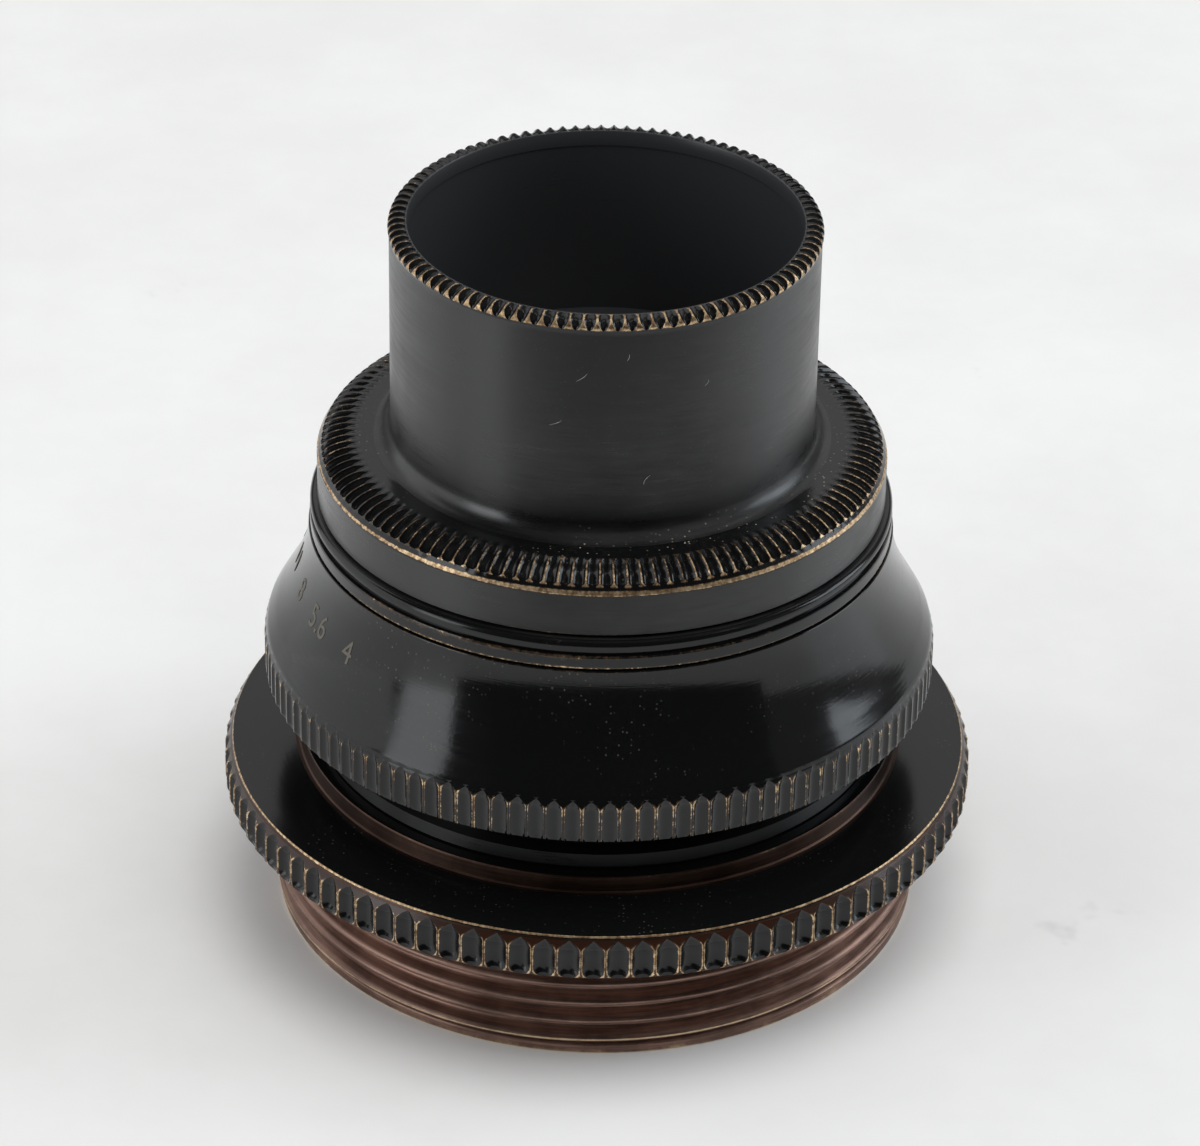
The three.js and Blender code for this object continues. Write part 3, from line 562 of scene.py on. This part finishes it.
def glass(name, colour, index):
    """Optical glass with faint dust."""
    material, tree, shader = new_material(name)
    point, _ = place_of(tree)
    film = noise(tree, point, 900, 4.0, 0.7)
    values = {
        "Base Color": colour,
        "Roughness": ramp(tree, film, 0.5, 0.9, 0.0, 0.08),
        "Transmission Weight": 1.0,
        "IOR": index,
    }
    set_inputs(tree, shader, values)
    return material


BLACK = (0.0048, 0.0050, 0.0053, 1)
SCALLOP_BLACK = (0.004, 0.0042, 0.0043, 1)
BORE_BLACK = (0.042, 0.044, 0.047, 1)
CHAMFER_BROWN = (0.028, 0.011, 0.006, 1)
NUMBER_FILL = (0.13, 0.12, 0.095, 1)
NUMBER_WORN = (0.3, 0.26, 0.18, 1)
satin_lacquer = coated("satin_black_lacquer", BLACK, 0.33, marks=0.2, brushed=0.7, index=1.62)
gloss_lacquer = coated("gloss_black_lacquer", BLACK, 0.13, marks=0.09)
flange_lacquer = coated("flange_black_lacquer", BLACK, 0.16, marks=0.05)
scallop_lacquer = coated("scallop_black_lacquer", SCALLOP_BLACK, 0.22, marks=0.05, land=CHAMFER_BROWN)
bore_black = coated("matte_bore_black", BORE_BLACK, 0.32, marks=0.08)
number_fill = coated("number_fill", NUMBER_FILL, 0.6, under=NUMBER_WORN)
fibre_white = coated("fibre_white", (0.32, 0.32, 0.31, 1), 0.8)
bronze = patina("bronzed_brass", (0.15, 0.091, 0.072, 1), (0.32, 0.195, 0.152, 1), 0.38)
dark_bronze = patina("dark_bronzed_brass", (0.04, 0.022, 0.016, 1), (0.085, 0.048, 0.034, 1), 0.36)
blackened = metal("blackened_brass", (0.02, 0.02, 0.021, 1), 0.5, 0.6)
raw_brass = metal("turned_brass", (0.62, 0.44, 0.22, 1), 0.35)
steel = metal("bright_steel", (0.45, 0.46, 0.48, 1), 0.35)
blade_steel = metal("blued_blade_steel", (0.05, 0.055, 0.065, 1), 0.38)
crown_glass = glass("crown_glass", (0.97, 0.99, 0.98, 1), 1.52)
flint_glass = glass("flint_glass", (0.98, 0.98, 0.94, 1), 1.62)

# The three finishes of a lacquered piece, in the order that an outline's finish numbers take.
LACQUERS = [satin_lacquer, gloss_lacquer, bore_black]
SATIN, GLOSS, BORE = range(3)


# ------------------------------------------------------------------------------------ hood and collar


def hood_tube():
    """The hood: a thin tube with a knurled bead for a rim and a filleted foot.

    The bead is part of an ellipse. A dimple is narrow at the bead's inner side, widens and narrows again to
    its lower side, and its depth follows a power of half a sine.
    """
    foot_r, foot_z = HOOD_RADIUS + FOOT_FILLET, COLLAR_TOP + FOOT_FILLET
    stub_r, stub_z = HOOD_BORE - 1.0, COLLAR_TOP - 0.4
    bead = (HOOD_RADIUS - 0.48, HOOD_TOP - BEAD_HEIGHT)
    radii, heights = curve(bead, BEAD_WIDTH, BEAD_HEIGHT, 122, -22, 13)
    share = np.linspace(0, 1, 13)
    waist = 0.02 + 0.9 * np.clip(np.minimum((share + 0.10) / 0.30, (1.0 - share) / 0.45), 0, 1) ** 0.6
    depth = DIMPLE_DEPTH * np.sin(np.pi * np.clip(0.10 + 0.90 * share, 0, 1)) ** 0.7
    worn = np.interp(share, [0, 0.15, 0.5, 0.85, 1], [0.35, 0.6, 0.72, 0.84, 0.3])
    shape = Outline()
    shape.add([HOOD_BORE, LIP_BORE, LIP_BORE], HOOD_TOP - np.array([0.9, 0.84, 0.12]), finish=BORE)
    shape.add(HOOD_BORE - 0.02, HOOD_TOP - 0.07, wear=0.3, finish=BORE)
    shape.add(radii, heights, cut=waist, depth=depth, wear=worn, finish=GLOSS)
    shape.add(HOOD_RADIUS, HOOD_TOP - 0.6, finish=SATIN)
    shape.add(HOOD_RADIUS, np.linspace(HOOD_TOP - 0.8, foot_z, 6), dust=0.1, finish=SATIN)
    fillet = curve((foot_r, foot_z), FOOT_FILLET, FOOT_FILLET, 186, 270, 12)
    shape.add(*fillet, dust=np.linspace(0.1, 1.6, 12), finish=SATIN)
    shape.add([foot_r, stub_r, stub_r], [stub_z, stub_z, COLLAR_TOP + 1.6], finish=BORE)
    shape.add(HOOD_BORE, COLLAR_TOP + 1.62, finish=BORE)
    shape.add(HOOD_BORE, np.linspace(COLLAR_TOP + 2.5, HOOD_TOP - 1.2, 5), finish=BORE)
    # A strong back shade paints the rim bead's worn brass darker on the back.
    piece = turned("hood_tube", shape, LACQUERS, RIM_KNURLS, back_shade=0.75)
    return place(piece, "mount", "black_lacquer", "hood_cell")


def hood_collar():
    """The collar under the hood: a bevel of radial knurls, a plain edge and band, and the front cell below.

    The bevel's radius and height follow the cosine and a power of the sine of a falling tilt. A groove grows
    wider and deeper over the first stretch of the bevel.
    """
    tilt = np.radians(np.linspace(90, 28, 12))
    bevel = COLLAR_RADIUS - BEVEL_WIDTH
    radii = bevel + BEVEL_WIDTH * np.cos(tilt)
    heights = COLLAR_EDGE + np.sin(tilt) ** 1.2
    into = np.clip((radii - (bevel - 0.15)) / 0.55, 0, 1)
    cut = 0.04 + 0.88 * np.clip(into * 1.4, 0, 1) ** 0.8
    depth = GROOVE_DEPTH * np.clip(into * 1.1, 0, 1)
    cut[-1], depth[-1] = 0.5, 0.02
    shape = Outline()
    shape.add(HOOD_RADIUS + 0.6, COLLAR_TOP, dust=1.6, finish=GLOSS)
    flat = np.linspace(HOOD_RADIUS + 1.0, bevel - 0.12, 4)
    shape.add(flat, COLLAR_TOP, dust=[2.4, 2.2, 1.6, 0.9], finish=GLOSS)
    shape.add(radii, heights, cut=cut, depth=depth, wear=0.22 + 0.36 * into, dust=0.3, finish=GLOSS)
    shape.add(COLLAR_RADIUS - 0.14, COLLAR_EDGE + 0.27, finish=GLOSS)
    edge_r = COLLAR_RADIUS - np.array([0.09, 0.05, 0.0])
    edge_z = COLLAR_EDGE + np.array([0.2, 0.12, 0.04])
    shape.add(edge_r, edge_z, wear=[0.45, 0.95, 0.6], finish=GLOSS)
    shape.add(COLLAR_RADIUS, COLLAR_EDGE - 0.06, wear=0.1, finish=SATIN)
    shape.add(COLLAR_RADIUS, np.linspace(COLLAR_EDGE - 0.3, COLLAR_BOTTOM + 0.2, 4), finish=SATIN)
    foot_r = [COLLAR_RADIUS, COLLAR_RADIUS - 0.08]
    shape.add(foot_r, [COLLAR_BOTTOM + 0.08, COLLAR_BOTTOM], wear=0.3, finish=SATIN)
    shape.add(CELL_RADIUS, [COLLAR_BOTTOM, CELL_BOTTOM], finish=BORE)
    shape.add(GLASS_SEAT, [CELL_BOTTOM, COLLAR_TOP + 0.4], finish=BORE)
    shape.add(HOOD_RADIUS + 0.2, COLLAR_TOP + 0.1, finish=BORE)
    # A light back shade paints the collar's worn brass a little darker on the back.
    piece = turned("hood_collar", shape, LACQUERS, COLLAR_KNURLS, back_shade=0.3)
    return place(piece, "mount", "black_lacquer", "hood_cell")


# --------------------------------------------------------------------------- barrel and control ring


def barrel_body():
    """The main barrel: turned neck rings, a stop shoulder on the flange's boss, and two bores."""
    stop = BOSS_TOP + SEAM
    stop_top = stop + STOP_HEIGHT
    stop_r = BARREL_RADIUS + 0.9
    neck_low = RING_TOP + SEAM
    round_r, round_z = NECK_RADIUS - 0.3, NECK_TOP - NECK_ROUND
    slot_low = low_of("iris_drive_pin") - PIN_PLAY
    slot_high = top_of("iris_drive_pin") + PIN_PLAY
    shape = Outline()
    shape.add([PACK_RADIUS, round_r], NECK_TOP, finish=SATIN)
    shape.add(*curve((round_r, round_z), NECK_ROUND, NECK_ROUND, 80, 0, 5), wear=0.1, finish=GLOSS)
    shape.add(NECK_RADIUS - 0.02, NECK_TOP - 0.36, wear=0.15, finish=GLOSS)
    shape.add(NECK_GROOVE, [NECK_TOP - 0.42, NECK_TOP - 0.74], finish=GLOSS)
    shape.add([NECK_RADIUS - 0.03, NECK_RADIUS], [NECK_TOP - 0.78, NECK_TOP - 0.84], wear=0.35, finish=GLOSS)
    band = [NECK_TOP - 0.9, NECK_TOP - 1.1, NECK_TOP - 1.3, neck_low + 0.12]
    shape.add(NECK_RADIUS, band, wear=[0.3, 0.1, 0.1, 0.3], finish=GLOSS)
    shape.add([NECK_RADIUS, NECK_RADIUS - 0.03], [neck_low + 0.05, neck_low], wear=[0.5, 0.45], finish=GLOSS)
    shape.add(BARREL_RADIUS, neck_low, finish=SATIN)
    outside = len(shape.rows())
    shape.add(BARREL_RADIUS, [slot_high, slot_low, stop_top], finish=SATIN)
    shape.add([stop_r, stop_r, BARREL_RADIUS], [stop_top, stop, stop], finish=SATIN)
    shape.add([BARREL_RADIUS, SINK_RADIUS], BARREL_BOTTOM, finish=BORE)
    shape.add([SINK_RADIUS, PACK_RADIUS], low_of("iris_seat_ring") - SEAM, finish=BORE)
    inside = len(shape.rows())
    shape.add(PACK_RADIUS, [slot_low, slot_high], finish=BORE)
    piece = slotted("barrel_body", shape, LACQUERS, outside, inside, SLOT_START, SLOT_END)
    return place(piece, "mount", "black_lacquer", "barrel")


def cone_radius(down):
    """Radius of the control ring's cone: it grows with a power of the share of the height below its top."""
    return CONE_TOP_RADIUS + CONE_FLARE * down**CONE_HOLLOW


def control_ring():
    """The iris control ring: a hollow-sided cone, a shoulder, and a band of upright flutes.

    A flute's half width follows a power of the depth below its tip, so each flute ends in a round arch and
    the lands between fork.
    """
    down = np.linspace(0, 1, 26)
    cone_r = cone_radius(down)
    cone_z = RING_TOP - CONE_HEIGHT * down
    shape = Outline()
    shape.add([RING_BORE, CONE_TOP_RADIUS - 0.1], RING_TOP, finish=GLOSS)
    shape.add(CONE_TOP_RADIUS - 0.02, RING_TOP - 0.01, wear=0.3, finish=GLOSS)
    top_wear = np.where(down < 0.02, 0.25, 0.0)
    shape.add(cone_r, cone_z - 0.04 * (1 - down), wear=top_wear, dust=0.35, finish=GLOSS)
    slope = straight((cone_r[-1] + 0.04, cone_z[-1] - 0.07), (SHOULDER_RADIUS - 0.02, BAND_TIP + 0.15), 6)
    shape.add(*slope, dust=0.08, finish=GLOSS)
    rise = np.linspace(1, 0, 7)
    arch_r = BAND_RADIUS - 0.11 * rise**1.5
    arch_z = BAND_NOTCH + rise * (BAND_TIP - BAND_NOTCH)
    cut = 0.84 * np.clip(1.001 - rise**1.2, 0, 1) ** 0.7 + 0.01
    depth = FLUTE_DEPTH * np.clip(1 - rise, 0, 1) ** 0.8
    shape.add(arch_r, arch_z, cut=cut, depth=depth, wear=np.linspace(0.15, 0.8, 7), finish=GLOSS)
    flute = np.linspace(BAND_NOTCH - 0.2, RING_BOTTOM + 0.25, 4)
    flute_wear = [0.66, 0.56, 0.52, 0.52]
    shape.add(BAND_RADIUS, flute, cut=FLUTE_WIDTH, depth=FLUTE_DEPTH, wear=flute_wear, finish=GLOSS)
    foot = [BAND_RADIUS - 0.02, BAND_RADIUS - 0.12]
    shape.add(foot, [RING_BOTTOM + 0.1, RING_BOTTOM], cut=0.85, depth=[0.15, 0.03], wear=0.5, finish=GLOSS)
    shape.add([BAND_RADIUS - 1.2, RING_BORE], RING_BOTTOM, finish=SATIN)
    piece = turned("control_ring", shape, LACQUERS, BAND_KNURLS, land=0.45)
    return place(piece, "iris_control", "black_lacquer", "iris_control_ring")


def number_mesh(number):
    """A mesh of one flat number, in millimetres, centred across."""
    text = bpy.data.curves.new("number", "FONT")
    text.body = number
    text.size = NUMBER_SIZE
    text.align_x = "CENTER"
    text.extrude = 0.5
    text.resolution_u = 4
    holder = on_scene("number", text)
    bpy.context.view_layer.update()
    flat = bpy.data.meshes.new_from_object(holder.evaluated_get(bpy.context.evaluated_depsgraph_get()))
    bpy.data.objects.remove(holder)
    return flat


def aperture_numbers():
    """Numbers on the cone, laid on by arc length: across becomes an angle and up a height on the cone."""
    work = bmesh.new()
    for number, turn in NUMBERS:
        flat = number_mesh(number)
        spots = np.empty(len(flat.vertices) * 3, np.float32)
        flat.vertices.foreach_get("co", spots)
        across, up, out = spots.reshape(-1, 3).astype(float).T
        height = NUMBER_LINE + up
        down = np.clip((RING_TOP - height) / CONE_HEIGHT, 0, 1)
        radius = cone_radius(down) + np.where(out > 0, NUMBER_PROUD, -NUMBER_SUNK)
        angle = np.radians(-90 - turn) + across / radius
        laid = np.stack([radius * np.cos(angle), radius * np.sin(angle), height], axis=-1) * MM
        flat.vertices.foreach_set("co", laid.astype(np.float32).ravel())
        work.from_mesh(flat)
    mesh = bpy.data.meshes.new("aperture_numbers")
    work.to_mesh(mesh)
    work.free()
    mesh.materials.append(number_fill)
    return place(on_scene("aperture_numbers", mesh), "iris_control", "raw_brass")


def lock_ring():
    """The ring that keeps the control ring up against the neck: a plain ring with broken edges."""
    node = "iris_lock_ring"
    inner, outer = BARREL_RADIUS + 0.1, radius_of(node)
    low, high = low_of(node), top_of(node)
    shape = Outline()
    shape.add([inner, inner + LOCK_BREAK], [high - LOCK_BREAK, high])
    shape.add([outer - LOCK_BREAK, outer], [high, high - LOCK_BREAK])
    shape.add([outer, outer - LOCK_BREAK], [low + LOCK_BREAK, low])
    shape.add([inner + LOCK_BREAK, inner], [low, low + LOCK_BREAK])
    piece = turned("lock_ring", shape, [blackened])
    return place(piece, "mount", "blackened_brass", node)


# ------------------------------------------------------------------------------------------ the mount


def mount_flange():
    """The mount flange: boss, glossy dished top, worn edge, brown chamfer and a knurl of arched scallops.

    A scallop's half width follows a power of the depth below its tip, so each one ends in an arch.
    """
    top, underside, scallop, brown = range(4)
    finishes = [flange_lacquer, bronze, scallop_lacquer, dark_bronze]
    boss = BOSS_RADIUS
    shape = Outline()
    shape.add([FLANGE_BORE, boss - 0.08], BOSS_TOP, finish=top)
    corner_z = BOSS_TOP - np.array([0.01, 0.05, 0.14])
    shape.add([boss - 0.03, boss, boss + 0.01], corner_z, wear=[0.2, 0.35, 0.1], finish=brown)
    foot_z = [BOSS_TOP - 0.3, DISH_TOP + 0.1, DISH_TOP + 0.02]
    shape.add([boss + 0.03, boss + 0.08, boss + 0.16], foot_z, finish=brown)
    shape.add(*straight((boss + 0.3, DISH_TOP), (FLANGE_EDGE - 0.08, FLANGE_TOP), 6), dust=0.25, finish=top)
    edge_r = [FLANGE_EDGE - 0.03, FLANGE_EDGE, FLANGE_EDGE + 0.02]
    edge_z = FLANGE_TOP - np.array([0.0, 0.02, 0.06])
    shape.add(edge_r, edge_z, wear=[0.5, 1.1, 0.75], finish=top)
    shape.add(FLANGE_EDGE + 0.05, FLANGE_TOP - 0.12, finish=brown)
    rise = np.linspace(1, 0, 9)
    arch_r = FLANGE_RADIUS - 0.04 - 0.25 * rise
    arch_z = SCALLOP_NOTCH + rise * (SCALLOP_TIP - SCALLOP_NOTCH)
    cut = 0.93 * np.clip(1.001 - rise**1.15, 0, 1) ** 0.8 + 0.01
    depth = 0.32 * np.clip(1 - rise, 0, 1) ** 0.75
    shape.add(arch_r, arch_z, cut=cut, depth=depth, wear=np.linspace(0.0, 0.85, 9), finish=scallop)
    wall_z = [SCALLOP_NOTCH - 0.12, SCALLOP_NOTCH - 0.5]
    shape.add(FLANGE_RADIUS, wall_z, cut=[0.93, 0.94], depth=[0.33, 0.34], wear=[0.8, 0.72], finish=scallop)
    low_z = FLANGE_BOTTOM + np.array([0.5, 0.3, 0.14])
    low_cut = {"cut": [0.93, 0.88, 0.7], "depth": [0.33, 0.28, 0.16]}
    shape.add(FLANGE_RADIUS, low_z, **low_cut, wear=[0.7, 0.72, 0.75], finish=scallop)
    shape.add(FLANGE_RADIUS - 0.12, FLANGE_BOTTOM, cut=0.3, depth=0.02, wear=0.3, finish=scallop)
    shape.add([THREAD_RADIUS + 0.1, FLANGE_BORE], FLANGE_BOTTOM, finish=underside)
    piece = turned("mount_flange_disc", shape, finishes, FLANGE_KNURLS, land=0.35)
    return place(piece, "mount", "bronzed_brass", "mount_flange")


def mount_thread():
    """The male thread under the flange."""
    return place(thread_sleeve("mount_thread", [bronze]), "mount", "bronzed_brass", "mount_flange")


# ----------------------------------------------------------------------------------- glasses and lint


def sag(curve_radius, radii):
    """Depth of a spherical face at each radius, negative on a hollow face."""
    size = abs(curve_radius)
    return math.copysign(1, curve_radius) * (size - np.sqrt(size**2 - np.asarray(radii, float) ** 2))


def lens(node, faces, finish, slot):
    """A glass with two spherical faces, given by their radii of curvature, and a blackened edge."""
    front, rear = faces
    edge = radius_of(node)
    radii = np.linspace(0, edge, 26)
    front_vertex = top_of(node) + min(sag(front, edge), 0)
    rear_vertex = low_of(node) - min(sag(rear, edge), 0)
    shape = Outline()
    shape.add(radii, front_vertex - sag(front, radii), finish=np.where(radii < edge, 0, 1))
    shape.add(radii[::-1], rear_vertex + sag(rear, radii[::-1]), finish=0)
    piece = turned(node + "_glass", shape, [finish, bore_black], closed=False)
    return place(piece, "mount", slot, node)


def lint():
    """Fine fibres of lint lying on the hood: thin tubes swept along gentle arcs on the surface.

    Each fibre is a six-sided tube about an arc whose angle bows by half a sine. It thins by a root of the
    same half sine towards its ends, which are capped.
    """
    rows, sides = 14, 6
    share = np.linspace(0, 1, rows)
    swell = np.sin(np.pi * share)
    spoke_angle = np.linspace(0, 2 * np.pi, sides, endpoint=False)[:, None]
    thick = FIBRE_RADIUS * np.sqrt(np.clip(swell, 0.02, 1))[:, None, None]
    points, faces = [], []
    for number, (start_angle, start_height, turn, climb, bow) in enumerate(FIBRES):
        angle = math.radians(start_angle) + turn * share + bow * swell
        outward = np.stack([np.cos(angle), np.sin(angle), 0 * angle], axis=-1)
        middle = HOOD_RADIUS * outward
        middle[:, 2] = start_height + climb * share
        along = np.gradient(middle, axis=0)
        along /= np.linalg.norm(along, axis=1)[:, None]
        beside = np.cross(along, outward)
        spokes = outward[:, None] * np.cos(spoke_angle) + beside[:, None] * np.sin(spoke_angle)
        tube = middle[:, None] + spokes * thick + outward[:, None] * FIBRE_LIFT
        points.append(tube.reshape(-1, 3))
        start = number * rows * sides
        faces.append(grid_faces(rows, sides, close_rows=False)[:, ::-1] + start)
        first = start + np.arange(sides)
        last = first + (rows - 1) * sides
        faces.append(np.stack([first[[0, 1, 2, 3]], last[[3, 2, 1, 0]]]))
        faces.append(np.stack([first[[0, 3, 4, 5]], last[[5, 4, 3, 0]]]))
    piece = mesh_of("lint", np.concatenate(points), np.concatenate(faces), [fibre_white])
    return place(piece, "mount", "black_lacquer")


# --------------------------------------------------------------------------- stage, light and camera

FLOOR_REACH = 1.6
FLOOR_DULL = (0.87, 0.87, 0.86, 1)
FLOOR_PALE = (0.94, 0.94, 0.935, 1)
FLOOR_STAIN = (0.45, 0.45, 0.45, 1)
CARD_BLACK = (0.004, 0.004, 0.004, 1)

# Lights: azimuth round from the front and elevation in degrees, distance, width and height in metres, power
# in watts, and colour.
LIGHTS = {
    "ceiling": (80, 76, 1.3, 1.3, 1.3, 12.6, (1.0, 0.992, 0.982)),
    "back_wall": (180, 34, 1.3, 1.6, 0.7, 1.7, (1.0, 1.0, 1.0)),
    "bright_pane": (-59, 14, 0.62, 0.26, 0.4, 0.9, (0.95, 0.98, 1.0)),
    "far_pane": (-102, 24, 0.7, 0.75, 0.9, 2.1, (0.97, 0.98, 1.0)),
    "side": (100, 22, 0.7, 0.4, 0.36, 1.5, (0.85, 0.93, 1.0)),
}
LIGHT_AIM = Vector((0, 0, 0.02))
WORLD_COLOUR = (0.98, 0.98, 0.98, 1)
WORLD_STRENGTH = 0.16

SENSOR_WIDTH = 36
LENS_LENGTH = 150.5
CAMERA_PLACE = (0, -0.20781, 0.14317)
CAMERA_TILT = 58.765
CAMERA_ROLL = 0.975


def floor():
    """A large pale floor with faint clouding and a few stains."""
    reach = FLOOR_REACH
    corners = [(-reach, -reach, 0), (reach, -reach, 0), (reach, reach, 0), (-reach, reach, 0)]
    mesh = bpy.data.meshes.new("floor")
    mesh.from_pydata(corners, [], [(0, 1, 2, 3)])
    material, tree, shader = new_material("pale_floor")
    point, _ = place_of(tree)
    clouds = noise(tree, point, 22, 6.0, 0.65)
    stains = noise(tree, point, 60, 5.0, 0.7)
    colour = blend(tree, ramp(tree, clouds, 0.35, 0.65), FLOOR_DULL, FLOOR_PALE)
    colour = blend(tree, ramp(tree, stains, 0.66, 0.8, 0.0, 0.5), colour, FLOOR_STAIN)
    set_inputs(tree, shader, {"Base Color": colour, "Roughness": 0.4})
    mesh.materials.append(material)
    on_scene("floor", mesh)


def dark_card():
    """A black card before and over the front, seen only by reflections, so the gloss stays dark there."""
    near, left, right, low, tall = -0.07, -0.078, 0.11, 0.0005, 0.2
    roof, back = 0.3, 0.06
    corners = [(left, near, low), (right, near, low), (right, near, tall), (left, near, tall)]
    corners += [(-roof, near, tall), (roof, near, tall), (roof, back, tall), (-roof, back, tall)]
    mesh = bpy.data.meshes.new("dark_card")
    mesh.from_pydata(corners, [], [(0, 1, 2, 3), (4, 5, 6, 7)])
    material, tree, shader = new_material("card_black")
    set_inputs(tree, shader, {"Base Color": CARD_BLACK, "Roughness": 1.0})
    mesh.materials.append(material)
    made = on_scene("dark_card", mesh)
    made.visible_camera = False
    made.visible_diffuse = False
    made.visible_shadow = False


def soft_light(name, azimuth, elevation, distance, width, height, power, colour):
    """A rectangular light that faces the object."""
    light = bpy.data.lights.new(name, "AREA")
    light.shape = "RECTANGLE"
    light.size = width
    light.size_y = height
    light.energy = power
    light.color = colour
    round_by, up_by = math.radians(azimuth), math.radians(elevation)
    level = math.cos(up_by)
    away = Vector((math.sin(round_by) * level, -math.cos(round_by) * level, math.sin(up_by)))
    made = on_scene(name, light)
    made.location = LIGHT_AIM + away * distance
    made.rotation_mode = "QUATERNION"
    made.rotation_quaternion = away.to_track_quat("Z", "Y")


def lighting():
    """A dim even world and the soft lights."""
    world = bpy.data.worlds.new("studio")
    world.use_nodes = True
    background = world.node_tree.nodes["Background"]
    background.inputs["Color"].default_value = WORLD_COLOUR
    background.inputs["Strength"].default_value = WORLD_STRENGTH
    bpy.context.scene.world = world
    for name, settings in LIGHTS.items():
        soft_light(name, *settings)
    bpy.context.scene.view_settings.view_transform = "Standard"


def camera():
    """A long lens above the front, looking down at the object."""
    data = bpy.data.cameras.new("camera")
    data.sensor_width = SENSOR_WIDTH
    data.sensor_fit = "HORIZONTAL"
    data.lens = LENS_LENGTH
    data.clip_start = 0.01
    data.clip_end = 10
    tilt = Matrix.Rotation(math.radians(CAMERA_TILT), 4, "X")
    roll = Matrix.Rotation(math.radians(CAMERA_ROLL), 4, "Z")
    made = on_scene("camera", data)
    made.matrix_world = Matrix.Translation(CAMERA_PLACE) @ (tilt @ roll)
    bpy.context.scene.camera = made


camera()
lighting()
dark_card()
floor()
hood_tube()
hood_collar()
barrel_body()
control_ring()
aperture_numbers()
mount_flange()
mount_thread()
lock_ring()
lens("front_crown", FRONT_CROWN_FACES, crown_glass, "crown_glass")
lens("front_flint", FRONT_FLINT_FACES, flint_glass, "flint_glass")
lens("rear_flint", REAR_FLINT_FACES, flint_glass, "flint_glass")
lens("rear_crown", REAR_CROWN_FACES, crown_glass, "crown_glass")
lint()

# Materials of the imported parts; the screws and the rest are steel.
node_finish = {
    "rear_cell": raw_brass,
    "front_retainer": blackened,
    "rear_retainer": blackened,
    "rear_spacer": blackened,
    "iris_drive_ring": blackened,
    "iris_seat_ring": blackened,
    "front_crown": crown_glass,
    "front_flint": flint_glass,
    "rear_flint": flint_glass,
    "rear_crown": crown_glass,
}
for node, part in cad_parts.items():
    finish = node_finish.get(node, blade_steel if node.startswith("iris_blade") else steel)
    part.data.materials.clear()
    part.data.materials.append(finish)
